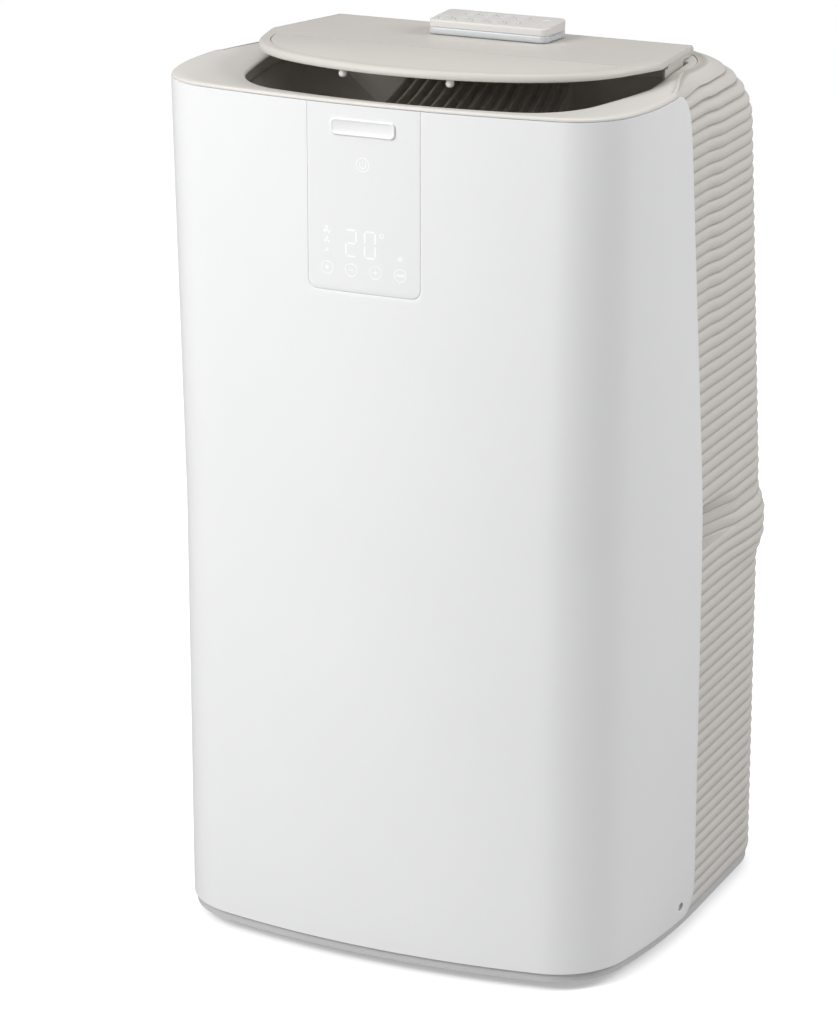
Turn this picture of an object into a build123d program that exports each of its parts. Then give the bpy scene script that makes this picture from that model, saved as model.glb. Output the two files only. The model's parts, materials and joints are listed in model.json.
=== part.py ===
"""Portable air conditioner on casters, with a lifting outlet flap and a small remote control.

Millimetres. Origin on the floor under the middle of the cabinet, +Z up, front facing -Y.
"""
import math
import os

from build123d import *

os.makedirs("parts", exist_ok=True)

# ---- cabinet -------------------------------------------------------------
HALF_WIDTH = 220.0          # widest half width of the cabinet
HALF_DEPTH = 200.0          # front face to middle, middle to rear face
FLOOR_GAP = 10.0            # underside of the base above the floor
SHELL_BOTTOM = 18.0         # lower edge of the shells
SHELL_TOP = 754.0           # upper edge of the white front shell
BODY_TOP = 757.0            # top of the ring and of the rear housing's roof
WALL = 3.0                  # moulded wall thickness
GAP = 0.4                   # hairline between neighbouring covers
LEAN_START = 385.0          # height where the back starts to lean forwards
REAR_LEAN = 30.0            # how far the rear has come forwards at the top
TOP_NARROWING = 6.0         # how much each flank has come in at the top
REAR_CORNER_R = 80.0
SHOULDER_R = 58.0           # rounding from the rear wall into the roof
SHOULDER_START = BODY_TOP - SHOULDER_R * math.sin(math.radians(80))
FLANK_SHOULDER = 0.58       # share of the rear's shoulder that the flanks have
BULGE = 6.0                 # swelling of the rear corners below the grips
BULGE_LOW, BULGE_HIGH = 322.0, 346.0
BULGE_FADE = 24.0

# ---- split between the white shell and the rear housing, in side view ----
SPLIT_Y = -3.0
SPLIT_TOP_Y = -38.0
SPLIT_LOW_R, SPLIT_HIGH_R = 25.0, 22.0

# ---- side grips ----------------------------------------------------------
GRIP_FLOOR, GRIP_BACK_TOP, GRIP_TOP = 348.0, 370.0, 392.0
GRIP_DEPTH = 20.0
GRIP_REAR_Y = 75.0

# ---- base and casters ----------------------------------------------------
DECK_TOP = 56.0
CASTER_PLACES = {"front_left": (-155, -128), "front_right": (155, -128),
                 "rear_left": (-150, 138), "rear_right": (150, 138)}
WHEEL_R, WHEEL_WIDTH = 20.0, 16.0
CASTER_OFFSET = 12.0
AXLE_R, STEM_R = 3.0, 5.0
RUNNING = 0.05              # radial clearance of a turning fit

# ---- outlet, ring and flap ----------------------------------------------
MOUTH_REAR_Y = 62.0
RING_LOW = 740.5
FLAP_TILT = 2.75            # degrees, front edge up
HINGE_Y, HINGE_Z = 84.0, 748.0
FLAP_LOW = 12.0             # underside of the flap above its hinge axis
FLAP_THICK = 7.0
HINGE_PIN_R = 3.0
HINGE_X = 128.0
SEAM_Y = -137.0             # seam of the inset panel, from the hinge axis

# ---- control panel -------------------------------------------------------
PANEL_X, PANEL_WIDTH = -5.0, 101.0
PANEL_LOW = 599.0
PANEL_R = 8.0

# ---- intakes, exhaust and drains ----------------------------------------
UPPER_INTAKE = (-130, 130, 425, 690)     # X from, X to, Z from, Z to
LOWER_INTAKE = (5, 135, 85, 335)
SLAT_PITCH = 10.7
COLLAR_X, COLLAR_Z = -78.0, 200.0
COLLAR_BORE_R = 62.0
COLLAR_LENGTH = 50.0
DRAIN_BORE_R = 5.0
UPPER_DRAIN = (100, 364)
LOWER_DRAIN = (60, 40)
CABLE_PLACE = (120, 66)
INLET_R, INLET_BORE_R = 9.0, 4.0
INLET_FRONT_Y, INLET_LENGTH = 170.0, 31.0

# ---- remote control ------------------------------------------------------
REMOTE_X, REMOTE_WIDTH, REMOTE_DEPTH = 7.0, 110.0, 46.0
REMOTE_FROM_HINGE = -46.0
REMOTE_FRONT_H, REMOTE_REAR_H = 12.5, 16.0
BUTTON_R, BUTTON_PITCH = 6.0, 15.8
BUTTON_TRAVEL_ROOM = 1.4

pieces = []


def save(piece, name):
    """Label a finished piece and write it as its own STEP file."""
    piece.label = name
    export_step(piece, f"parts/{name}.step")
    pieces.append(name)


def mix(low, high, share):
    return low + (high - low) * share


# ---------------------------------------------------------------------------
# The cabinet's outer form, as a stack of plan sections
# ---------------------------------------------------------------------------
def section(z, inset):
    """Plan outline of the cabinet at one height, moved inwards by inset."""
    lean = min(max((z - LEAN_START) / (BODY_TOP - LEAN_START), 0), 1)
    rise = min(max((z - SHOULDER_START) / SHOULDER_R, 0), 1)
    pull_in = SHOULDER_R * (1 - math.sqrt(1 - rise * rise))
    off_bulge = max(BULGE_LOW - z, z - BULGE_HIGH, 0)
    bulge = BULGE * max(1 - off_bulge / BULGE_FADE, 0)
    flank = HALF_WIDTH - TOP_NARROWING * lean - inset
    rear_flank = flank + bulge - FLANK_SHOULDER * pull_in
    rear = HALF_DEPTH - REAR_LEAN * lean + bulge / 4 - pull_in - inset
    corner = REAR_CORNER_R - inset
    front_end = (mix(150, 160, lean) - 0.18 * inset, mix(-186, -187.5, lean) + 0.98 * inset)
    corner_end = (mix(205, 207, lean) - 0.97 * inset, mix(-133, -146, lean) + 0.22 * inset)
    side_start = (flank, mix(0, -86, lean))
    side_mid = (flank, mix(40, -80, lean))
    side_end = (rear_flank, rear - corner)
    with BuildSketch(Plane.XY.offset(z)) as plan:
        with BuildLine():
            front = TangentArc((0, inset - HALF_DEPTH), front_end, tangent=(1, 0))
            turn = TangentArc(front_end, corner_end, tangent=front % 1)
            TangentArc(corner_end, side_start, tangent=turn % 1)
            Line(side_start, side_mid)
            Spline(side_mid, side_end, tangents=[(0, 1), (0, 1)])
            TangentArc(side_end, (rear_flank - corner, rear), tangent=(0, 1))
            Line((rear_flank - corner, rear), (0, rear))
            mirror(about=Plane.YZ)
        make_face()
    return plan.sketch


def body_block(inset, low, high):
    """The cabinet's outer form between two heights, moved inwards by inset."""
    shoulder = [SHOULDER_START + SHOULDER_R * math.sin(math.radians(a)) for a in (0, 25, 45, 62)]
    bends = [BULGE_LOW - BULGE_FADE, BULGE_LOW, BULGE_HIGH, BULGE_HIGH + BULGE_FADE, LEAN_START]
    heights = [low] + [z for z in bends + shoulder if low + 1 < z < high - 1] + [high]
    with BuildPart() as block:
        for z in heights:
            add(section(z, inset))
        loft(ruled=True)
    return block.part


def split_profile(grow):
    """Side view of everything that belongs to the front shell, grown by grow."""
    with BuildSketch(Plane.YZ) as side:
        with BuildLine():
            FilletPolyline((-HALF_DEPTH - 50, SHELL_BOTTOM), (SPLIT_Y, SHELL_BOTTOM),
                           (SPLIT_Y, LEAN_START), (SPLIT_TOP_Y, SHELL_TOP),
                           (-HALF_DEPTH - 50, SHELL_TOP),
                           radius=[SPLIT_LOW_R, 60, SPLIT_HIGH_R])
            Line((-HALF_DEPTH - 50, SHELL_TOP), (-HALF_DEPTH - 50, SHELL_BOTTOM))
        make_face()
        if grow:
            offset(amount=grow)
    return side.sketch


def box_between(x, y, z):
    """A plain block between two corners given as ranges."""
    with BuildPart() as block:
        with Locations(((x[0] + x[1]) / 2, (y[0] + y[1]) / 2, (z[0] + z[1]) / 2)):
            Box(x[1] - x[0], y[1] - y[0], z[1] - z[0])
    return block.part


skin = body_block(0, SHELL_BOTTOM, BODY_TOP)
core = body_block(WALL, SHELL_BOTTOM - 2, BODY_TOP - WALL)


def grip_block(side, grow):
    """Wedge-shaped hollow of one grip: deep at the shell's edge, nothing at its rear end."""
    deep = HALF_WIDTH - GRIP_DEPTH - grow
    rear = GRIP_REAR_Y + 3 * grow
    outer = HALF_WIDTH + 12
    with BuildPart() as block:
        with BuildSketch(Plane.XY.offset(GRIP_FLOOR - grow)):
            with BuildLine():
                Polyline((side * deep, SPLIT_Y - grow), (side * outer, SPLIT_Y - grow),
                         (side * outer, rear + outer - HALF_WIDTH),
                         (side * (HALF_WIDTH - grow), rear), close=True)
            make_face()
        extrude(amount=GRIP_BACK_TOP - GRIP_FLOOR + grow)
        with BuildSketch(Plane.XY.offset(GRIP_BACK_TOP)):
            with BuildLine():
                Polyline((side * deep, SPLIT_Y - grow), (side * outer, SPLIT_Y - grow),
                         (side * outer, rear + outer - HALF_WIDTH),
                         (side * (HALF_WIDTH - grow), rear), close=True)
            make_face()
        with BuildSketch(Plane.XY.offset(GRIP_TOP + grow)):
            with BuildLine():
                Polyline((side * (outer - 12), SPLIT_Y - grow), (side * outer, SPLIT_Y - grow),
                         (side * outer, rear + outer - HALF_WIDTH),
                         (side * (outer - 12), rear), close=True)
            make_face()
        loft(ruled=True)
    return block.part


grips = [grip_block(side, 0) for side in (-1, 1)]
grip_liners = [grip_block(side, WALL) for side in (-1, 1)]


def intake_block(window, shrink):
    """Block through the rear wall over one intake window."""
    x_low, x_high, z_low, z_high = window
    return box_between((x_low + shrink, x_high - shrink), (150, 230), (z_low + shrink, z_high - shrink))


# ---------------------------------------------------------------------------
# Covers
# ---------------------------------------------------------------------------
def panel_prism(grow):
    """Block through the front wall over the control panel; its top runs out above the shell."""
    panel_high = SHELL_TOP + 40
    with BuildPart() as block:
        with BuildSketch(Plane.XZ.offset(HALF_DEPTH - 30)):
            with Locations((PANEL_X, (PANEL_LOW + panel_high) / 2)):
                RectangleRounded(PANEL_WIDTH + 2 * grow, panel_high - PANEL_LOW + 2 * grow, PANEL_R + grow)
        extrude(amount=60)
    return block.part


panel_block = panel_prism(0)
panel_hole = panel_prism(GAP)

with BuildPart() as front_skin:
    add(skin)
    add(core, mode=Mode.SUBTRACT)
    extrude(split_profile(0), amount=HALF_WIDTH + 20, both=True, mode=Mode.INTERSECT)

SCREW_Y, SCREW_Z = -33.0, 30.0
with BuildPart() as front_shell:
    add(front_skin.part)
    add(panel_hole, mode=Mode.SUBTRACT)
    for side in (-1, 1):
        with BuildSketch(Plane.YZ.offset(side * (HALF_WIDTH + 1))):
            with Locations((SCREW_Y, SCREW_Z)):
                SlotOverall(9, 7)
        extrude(amount=-side * 8, mode=Mode.SUBTRACT)
save(front_shell.part, "front_shell")

with BuildPart() as display_panel:
    add(front_skin.part)
    add(panel_block, mode=Mode.INTERSECT)
save(display_panel.part, "display_panel")

BOARD_Z, BOARD_WIDTH, BOARD_HEIGHT = 670.0, 88.0, 126.0
with BuildPart() as display_board:
    with BuildSketch(Plane.XZ.offset(HALF_DEPTH - 12)):
        with Locations((PANEL_X, BOARD_Z)):
            Rectangle(BOARD_WIDTH, BOARD_HEIGHT)
    extrude(amount=1.6)
save(display_board.part, "display_board")

NAMEPLATE_Z, NAMEPLATE_WIDTH, NAMEPLATE_HEIGHT = 736.0, 58.0, 14.0
with BuildPart() as nameplate:
    with BuildSketch(Plane.XZ.offset(HALF_DEPTH - 5)):
        with Locations((PANEL_X, NAMEPLATE_Z)):
            RectangleRounded(NAMEPLATE_WIDTH, NAMEPLATE_HEIGHT, 4.5)
    extrude(amount=6.5)
    add(skin, mode=Mode.SUBTRACT)
save(nameplate.part, "nameplate")

with BuildPart() as housing_core:
    add(core)
    for liner in grip_liners:
        add(liner, mode=Mode.SUBTRACT)

ROOF_FRONT_Y = 94.0
CAP_REAR_Y = SPLIT_TOP_Y - SPLIT_HIGH_R
with BuildPart() as roof_hole:
    add(body_block(WALL, RING_LOW - 2, BODY_TOP))
    add(box_between((-230, 230), (-230, ROOF_FRONT_Y), (700, 800)), mode=Mode.INTERSECT)

with BuildPart() as rear_housing:
    add(skin)
    add(housing_core.part, mode=Mode.SUBTRACT)
    extrude(split_profile(GAP), amount=HALF_WIDTH + 20, both=True, mode=Mode.SUBTRACT)
    add(roof_hole.part, mode=Mode.SUBTRACT)
    add(box_between((-230, 230), (-230, CAP_REAR_Y + GAP), (SHELL_TOP - 30, 770)), mode=Mode.SUBTRACT)
    for grip in grips:
        add(grip, mode=Mode.SUBTRACT)
    add(intake_block(UPPER_INTAKE, 0), mode=Mode.SUBTRACT)
    add(intake_block(LOWER_INTAKE, 0), mode=Mode.SUBTRACT)
    with BuildSketch(Plane.XZ.offset(-HALF_DEPTH - 20)):
        with Locations((COLLAR_X, COLLAR_Z)):
            Circle(COLLAR_BORE_R + 3.5)
        with Locations(UPPER_DRAIN, LOWER_DRAIN):
            Circle(9.5)
    extrude(amount=60, mode=Mode.SUBTRACT)
    with BuildSketch(Plane.XZ.offset(-HALF_DEPTH - 20)):
        with Locations(CABLE_PLACE):
            Circle(INLET_R + GAP / 2)
    extrude(amount=80, mode=Mode.SUBTRACT)
save(rear_housing.part, "rear_housing")


def intake_grille(window, name, slot_margin):
    """Ribbed intake cover: the rear wall inside its window, with a row of slots."""
    x_low, x_high, z_low, z_high = window
    count = int((z_high - z_low - 2 * slot_margin) / SLAT_PITCH)
    with BuildPart() as grille:
        add(skin)
        add(core, mode=Mode.SUBTRACT)
        add(intake_block(window, GAP), mode=Mode.INTERSECT)
        with BuildSketch(Plane.XZ.offset(-HALF_DEPTH - 20)):
            with Locations(((x_low + x_high) / 2, (z_low + z_high) / 2)):
                with GridLocations(0, SLAT_PITCH, 1, count):
                    Rectangle(x_high - x_low - 2 * slot_margin, 4)
        extrude(amount=60, mode=Mode.SUBTRACT)
    save(grille.part, name)


intake_grille(UPPER_INTAKE, "upper_intake_grille", 12)
intake_grille(LOWER_INTAKE, "lower_intake_grille", 12)


def filter_net(window, name, lean_plane):
    """Filter net in its frame, behind an intake grille."""
    x_low, x_high, z_low, z_high = window
    width, height = x_high - x_low - 6, z_high - z_low - 6
    with BuildPart() as net:
        with BuildSketch(lean_plane):
            Rectangle(width, height)
            Rectangle(width - 12, height - 12, mode=Mode.SUBTRACT)
            with GridLocations(0, height / 5, 1, 4):
                Rectangle(width, 4)
            with GridLocations(width / 4, 0, 3, 1):
                Rectangle(4, height)
        extrude(amount=2.2, both=True)
        with BuildSketch(lean_plane):
            Rectangle(width - 2, height - 2)
        extrude(amount=0.3, both=True)
    save(net.part, name)


lean_angle = math.degrees(math.atan(REAR_LEAN / (BODY_TOP - LEAN_START)))
upper_mid_z = (UPPER_INTAKE[2] + UPPER_INTAKE[3]) / 2
upper_mid_y = HALF_DEPTH - (upper_mid_z - LEAN_START) * math.tan(math.radians(lean_angle))
upper_net_plane = Plane(origin=(0, upper_mid_y - 8, upper_mid_z), x_dir=(1, 0, 0),
                        z_dir=(0, -math.cos(math.radians(lean_angle)), -math.sin(math.radians(lean_angle))))
lower_net_plane = Plane(origin=((LOWER_INTAKE[0] + LOWER_INTAKE[1]) / 2, HALF_DEPTH - 8,
                                (LOWER_INTAKE[2] + LOWER_INTAKE[3]) / 2),
                        x_dir=(1, 0, 0), z_dir=(0, -1, 0))
filter_net(UPPER_INTAKE, "upper_filter", upper_net_plane)
filter_net(LOWER_INTAKE, "lower_filter", lower_net_plane)

# ---------------------------------------------------------------------------
# Top ring, outlet duct and outlet grille
# ---------------------------------------------------------------------------
with BuildPart() as mouth:
    with BuildSketch(Plane.XY.offset(RING_LOW - 10)):
        with BuildLine():
            lip = TangentArc((0, -165), (103, -156), tangent=(1, 0))
            bend = TangentArc((103, -156), (158, -105), tangent=lip % 1)
            TangentArc((158, -105), (174, -30), tangent=bend % 1)
            Line((174, -30), (174, MOUTH_REAR_Y))
            Line((174, MOUTH_REAR_Y), (0, MOUTH_REAR_Y))
            mirror(about=Plane.YZ)
        make_face()
    extrude(amount=40)

ring_body = body_block(WALL + GAP, RING_LOW, BODY_TOP)
with BuildPart() as ring_cap:
    add(body_block(GAP, SHELL_TOP + GAP, BODY_TOP))
    add(box_between((-230, 230), (-230, CAP_REAR_Y), (700, 800)), mode=Mode.INTERSECT)
BOSS_R = 7.0
with BuildPart() as top_ring:
    add(ring_body)
    add(ring_cap.part)
    add(box_between((-230, 230), (ROOF_FRONT_Y - 2, 230), (700, 800)), mode=Mode.SUBTRACT)
    add(mouth.part, mode=Mode.SUBTRACT)
    # well for the hinge behind the mouth, with a boss on each side of both flap ears
    add(box_between((-150, 150), (MOUTH_REAR_Y + 8, 100), (RING_LOW + 1.5, 770)), mode=Mode.SUBTRACT)
    for side in (-1, 1):
        for boss_x in (HINGE_X - 13, HINGE_X + 5.6):
            with BuildSketch(Plane.YZ.offset(side * boss_x)):
                with Locations((HINGE_Y, HINGE_Z)):
                    Circle(BOSS_R)
                with Locations((HINGE_Y, HINGE_Z - 5)):
                    Rectangle(2 * BOSS_R, 4)
                with Locations((HINGE_Y, HINGE_Z)):
                    Circle(HINGE_PIN_R, mode=Mode.SUBTRACT)
            extrude(amount=side * 7)
save(top_ring.part, "top_ring")

DUCT_LOW, DUCT_WALL = 642.0, 2.5
BLOWER_X, BLOWER_LOW_Y, BLOWER_HIGH_Y = 108.0, 15.0, 92.0


def duct_block(shrink):
    """Funnel from the blower's rectangular outlet up to the mouth."""
    with BuildPart() as block:
        with BuildSketch(Plane.XY.offset(DUCT_LOW)):
            with Locations((0, (BLOWER_LOW_Y + BLOWER_HIGH_Y) / 2)):
                RectangleRounded(2 * (BLOWER_X - shrink), BLOWER_HIGH_Y - BLOWER_LOW_Y - 2 * shrink, 12)
        with BuildSketch(Plane.XY.offset(RING_LOW - GAP)):
            with Locations((0, -50)):
                RectangleRounded(2 * (181 - shrink), 238 - 2 * shrink, 78)
        loft(ruled=True)
    return block.part


duct_outer = duct_block(0)
duct_inner = duct_block(DUCT_WALL)
with BuildPart() as outlet_duct:
    add(duct_outer)
    add(duct_inner, mode=Mode.SUBTRACT)
save(outlet_duct.part, "outlet_duct")

BAR_COUNT, BAR_PITCH, BAR_THICK = 15, 11.0, 2.0
BAR_REAR, BAR_MIDDLE, BAR_FRONT = (54, 737), (10, 715), (-74, 702)    # upper edge of the bars, Y and Z
BAR_DEPTH = 8.0
with BuildPart() as outlet_grille:
    for bar in range(BAR_COUNT):
        bar_x = (bar - (BAR_COUNT - 1) / 2) * BAR_PITCH
        with BuildSketch(Plane.YZ.offset(bar_x - BAR_THICK / 2)):
            with BuildLine():
                Spline(BAR_REAR, BAR_MIDDLE, BAR_FRONT)
                Spline((BAR_REAR[0], BAR_REAR[1] - BAR_DEPTH), (BAR_MIDDLE[0], BAR_MIDDLE[1] - BAR_DEPTH),
                       (BAR_FRONT[0], BAR_FRONT[1] - BAR_DEPTH))
                Line(BAR_REAR, (BAR_REAR[0], BAR_REAR[1] - BAR_DEPTH))
                Line(BAR_FRONT, (BAR_FRONT[0], BAR_FRONT[1] - BAR_DEPTH))
            make_face()
        extrude(amount=BAR_THICK)
    rail = ((BAR_COUNT - 1) * BAR_PITCH + BAR_THICK) / 2
    for y, z in (BAR_REAR, BAR_FRONT):
        with BuildSketch(Plane.YZ.offset(-rail)):
            with Locations((y + math.copysign(2, -y), z - BAR_DEPTH / 2)):
                Circle(2.5)
        extrude(amount=2 * rail)
save(outlet_grille.part, "outlet_grille")

# ---------------------------------------------------------------------------
# Flap
# ---------------------------------------------------------------------------
tilt = math.radians(FLAP_TILT)
flap_plane = Plane(origin=(0, HINGE_Y, HINGE_Z), x_dir=(1, 0, 0),
                   z_dir=(0, math.sin(tilt), math.cos(tilt)))


def flap_outline(inset):
    """D-shaped outline of the flap, measured from its hinge axis."""
    with BuildSketch() as plan:
        with BuildLine():
            nose = TangentArc((0, -246 + inset), (97 - 0.2 * inset, -226 + inset), tangent=(1, 0))
            turn = TangentArc((97 - 0.2 * inset, -226 + inset), (166 - inset, -150 + 0.5 * inset),
                              tangent=nose % 1)
            TangentArc((166 - inset, -150 + 0.5 * inset), (180 - inset, -100), tangent=turn % 1)
            Line((180 - inset, -100), (167 - inset, 4 - inset))
            Line((167 - inset, 4 - inset), (0, 4 - inset))
            mirror(about=Plane.YZ)
        make_face()
    return plan.sketch


INSET_MARGIN = 10.0
INSET_THICK = 2.0
with BuildPart() as inset_recess:
    with BuildSketch(flap_plane.offset(FLAP_LOW + FLAP_THICK - INSET_THICK - 0.3)):
        add(flap_outline(INSET_MARGIN - GAP))
        with Locations((0, SEAM_Y + GAP + 100)):
            Rectangle(400, 200, mode=Mode.SUBTRACT)
    extrude(amount=10)

with BuildPart() as flap_inset:
    with BuildSketch(flap_plane.offset(FLAP_LOW + FLAP_THICK - INSET_THICK - 0.3)):
        add(flap_outline(INSET_MARGIN))
        with Locations((0, SEAM_Y + 100)):
            Rectangle(400, 200, mode=Mode.SUBTRACT)
    extrude(amount=INSET_THICK + 0.3)
save(flap_inset.part, "flap_inset")

SKIRT_FROM, SKIRT_TO = -75.0, -26.0
SKIRT_FRONT_X, SKIRT_REAR_X = 172.5, 169.8    # just inside the mouth, following the edge of the flap
SKIRT_THICK, SKIRT_DEPTH = 2.5, 16.0
with BuildPart() as flap_plate:
    with BuildSketch(flap_plane.offset(FLAP_LOW)):
        add(flap_outline(0))
    extrude(amount=FLAP_THICK)
    fillet(flap_plate.edges().filter_by(GeomType.CIRCLE).group_by(SortBy.LENGTH)[-1], 2.4)
    add(inset_recess.part, mode=Mode.SUBTRACT)
    for side in (-1, 1):
        # side skirt that closes the gap beside the rear of the mouth
        with BuildSketch(flap_plane.offset(FLAP_LOW - SKIRT_DEPTH)):
            with BuildLine():
                Polyline((side * (SKIRT_FRONT_X - SKIRT_THICK), SKIRT_FROM), (side * SKIRT_FRONT_X, SKIRT_FROM),
                         (side * SKIRT_REAR_X, SKIRT_TO), (side * (SKIRT_REAR_X - SKIRT_THICK), SKIRT_TO), close=True)
            make_face()
        extrude(amount=SKIRT_DEPTH + 1)
        # ear around the hinge pin
        with BuildSketch(Plane.YZ.offset(side * (HINGE_X - 5))):
            with Locations((HINGE_Y, HINGE_Z)):
                Circle(5.4)
            with Locations((HINGE_Y, HINGE_Z + FLAP_LOW / 2 + 1)):
                Rectangle(9, FLAP_LOW + 1)
            with Locations((HINGE_Y, HINGE_Z)):
                Circle(HINGE_PIN_R + RUNNING, mode=Mode.SUBTRACT)
        extrude(amount=side * 10)
save(flap_plate.part, "flap_plate")

BUMPER_LENGTH = 7.0
with BuildPart() as flap_bumpers:
    for bumper_x, bumper_y in ((-48, -232), (48, -232)):
        with BuildSketch(flap_plane.offset(FLAP_LOW)):
            with Locations((bumper_x, bumper_y)):
                Circle(3.6)
        extrude(amount=-BUMPER_LENGTH)
save(flap_bumpers.part, "flap_bumpers")

with BuildPart() as flap_hinge_pins:
    for side in (-1, 1):
        with BuildSketch(Plane.YZ.offset(side * (HINGE_X - 14))):
            with Locations((HINGE_Y, HINGE_Z)):
                Circle(HINGE_PIN_R)
        extrude(amount=side * 28)
save(flap_hinge_pins.part, "flap_hinge_pins")

with BuildPart() as flap_motor:
    with BuildSketch(Plane.YZ.offset(HINGE_X - 30)):
        with Locations((HINGE_Y, HINGE_Z + 1)):
            Circle(4)
    extrude(amount=3)
    with BuildSketch(Plane.YZ.offset(HINGE_X - 45)):
        with Locations((HINGE_Y, HINGE_Z + 1)):
            Circle(5.2)
    extrude(amount=15)
save(flap_motor.part, "flap_motor")

# ---------------------------------------------------------------------------
# Base pan and casters
# ---------------------------------------------------------------------------
BASE_INSET = 2.5
with BuildPart() as base_pan:
    add(section(FLOOR_GAP, BASE_INSET))
    extrude(amount=SHELL_BOTTOM - 0.5 - FLOOR_GAP)
    add(body_block(WALL + 0.5, SHELL_BOTTOM - 0.6, DECK_TOP))
    add(body_block(WALL + 3.5, FLOOR_GAP - 1, DECK_TOP - WALL), mode=Mode.SUBTRACT)
    for place in CASTER_PLACES.values():
        with BuildSketch(Plane.XY.offset(DECK_TOP - WALL - 1)):
            with Locations(place):
                Circle(11)
        extrude(amount=14)
        with BuildSketch(Plane.XY.offset(DECK_TOP - WALL - 1)):
            with Locations(place):
                Circle(STEM_R + RUNNING)
        extrude(amount=12, mode=Mode.SUBTRACT)
    with BuildSketch(Plane.XZ.offset(-HALF_DEPTH - 5)):
        with Locations(LOWER_DRAIN):
            Circle(DRAIN_BORE_R + RUNNING)
    extrude(amount=40, mode=Mode.SUBTRACT)
save(base_pan.part, "base_pan")

FORK_TOP = DECK_TOP - WALL - 1.4
for place_name, (cx, cy) in CASTER_PLACES.items():
    wheel_y = cy + CASTER_OFFSET
    with BuildPart() as fork:
        with BuildSketch(Plane.XY.offset(FORK_TOP - 4)):
            with Locations((cx, cy)):
                Circle(15)
        extrude(amount=4)
        with BuildSketch(Plane.XY.offset(FORK_TOP)):
            with Locations((cx, cy)):
                Circle(STEM_R)
        extrude(amount=11)
        for side in (-1, 1):
            arm_x = cx + side * (WHEEL_WIDTH / 2 + 0.6)
            with BuildSketch(Plane.YZ.offset(arm_x)):
                with Locations((wheel_y, WHEEL_R)):
                    Circle(7)
                with BuildLine():
                    Polyline((wheel_y - 7, WHEEL_R), (wheel_y + 7, WHEEL_R), (cy + 10, FORK_TOP - 2),
                             (cy - 12, FORK_TOP - 2), close=True)
                make_face()
                with Locations((wheel_y, WHEEL_R)):
                    Circle(AXLE_R, mode=Mode.SUBTRACT)
            extrude(amount=side * 2.6)
    with BuildPart() as axle:
        with BuildSketch(Plane.YZ.offset(cx - 11)):
            with Locations((wheel_y, WHEEL_R)):
                Circle(AXLE_R)
        extrude(amount=22)
    save(Compound(children=[fork.part, axle.part]), f"caster_fork_{place_name}")
    with BuildPart() as wheel:
        with BuildSketch(Plane.YZ.offset(cx - WHEEL_WIDTH / 2)):
            with Locations((wheel_y, WHEEL_R)):
                Circle(WHEEL_R)
                Circle(AXLE_R + RUNNING, mode=Mode.SUBTRACT)
        extrude(amount=WHEEL_WIDTH)
        chamfer(wheel.edges().filter_by(GeomType.CIRCLE).group_by(SortBy.LENGTH)[-1], 1.5)
        for face_x, way in ((cx - WHEEL_WIDTH / 2, 1), (cx + WHEEL_WIDTH / 2, -1)):
            with BuildSketch(Plane.YZ.offset(face_x)):
                with Locations((wheel_y, WHEEL_R)):
                    Circle(15)
                    Circle(7, mode=Mode.SUBTRACT)
            extrude(amount=way * 4, mode=Mode.SUBTRACT)
    save(wheel.part, f"caster_wheel_{place_name}")

# ---------------------------------------------------------------------------
# Condensate tray and drain plugs
# ---------------------------------------------------------------------------
TRAY_LOW, TRAY_HIGH = 353.0, 377.0
TRAY_HALF_X, TRAY_FRONT_Y, TRAY_REAR_Y = 184.0, -165.0, 165.0
TRAY_MID_Y, TRAY_DEPTH = (TRAY_FRONT_Y + TRAY_REAR_Y) / 2, TRAY_REAR_Y - TRAY_FRONT_Y
with BuildPart() as condensate_tray:
    with BuildSketch(Plane.XY.offset(TRAY_LOW)):
        with Locations((0, TRAY_MID_Y)):
            RectangleRounded(2 * TRAY_HALF_X, TRAY_DEPTH, 25)
    extrude(amount=TRAY_HIGH - TRAY_LOW)
    with BuildSketch(Plane.XY.offset(TRAY_LOW + WALL)):
        with Locations((0, TRAY_MID_Y)):
            RectangleRounded(2 * TRAY_HALF_X - 2 * WALL, TRAY_DEPTH - 2 * WALL, 22)
    extrude(amount=TRAY_HIGH, mode=Mode.SUBTRACT)
    with BuildSketch(Plane.XZ.offset(-TRAY_REAR_Y + 1)):
        with Locations(UPPER_DRAIN):
            Circle(8.6)
    extrude(amount=-34)
    with BuildSketch(Plane.XZ.offset(-TRAY_REAR_Y + 8)):
        with Locations(UPPER_DRAIN):
            Circle(DRAIN_BORE_R + RUNNING)
    extrude(amount=-60, mode=Mode.SUBTRACT)
save(condensate_tray.part, "condensate_tray")


def drain_plug(place, stem_from, cap_from, name):
    """Rubber plug: a stem in the drain bore and a ribbed cap outside."""
    with BuildPart() as plug:
        with BuildSketch(Plane.XZ.offset(-stem_from)):
            with Locations(place):
                Circle(DRAIN_BORE_R)
        extrude(amount=stem_from - cap_from)
        with BuildSketch(Plane.XZ.offset(-cap_from)):
            with Locations(place):
                Circle(8.5)
        extrude(amount=-4)
    save(plug.part, name)


drain_plug(UPPER_DRAIN, 172, 198.5, "upper_drain_plug")
drain_plug(LOWER_DRAIN, 190, 197, "lower_drain_plug")

with BuildPart() as cable_inlet:
    with BuildSketch(Plane.XZ.offset(-INLET_FRONT_Y)):
        with Locations(CABLE_PLACE):
            Circle(INLET_R)
            Circle(INLET_BORE_R, mode=Mode.SUBTRACT)
    extrude(amount=-INLET_LENGTH)
save(cable_inlet.part, "cable_inlet")

with BuildPart() as housing_screws:
    for side in (-1, 1):
        with BuildSketch(Plane.YZ.offset(side * (HALF_WIDTH - 3.4))):
            with Locations((SCREW_Y, SCREW_Z)):
                Circle(2.9)
        extrude(amount=side * 1.8)
save(housing_screws.part, "housing_screws")

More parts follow.
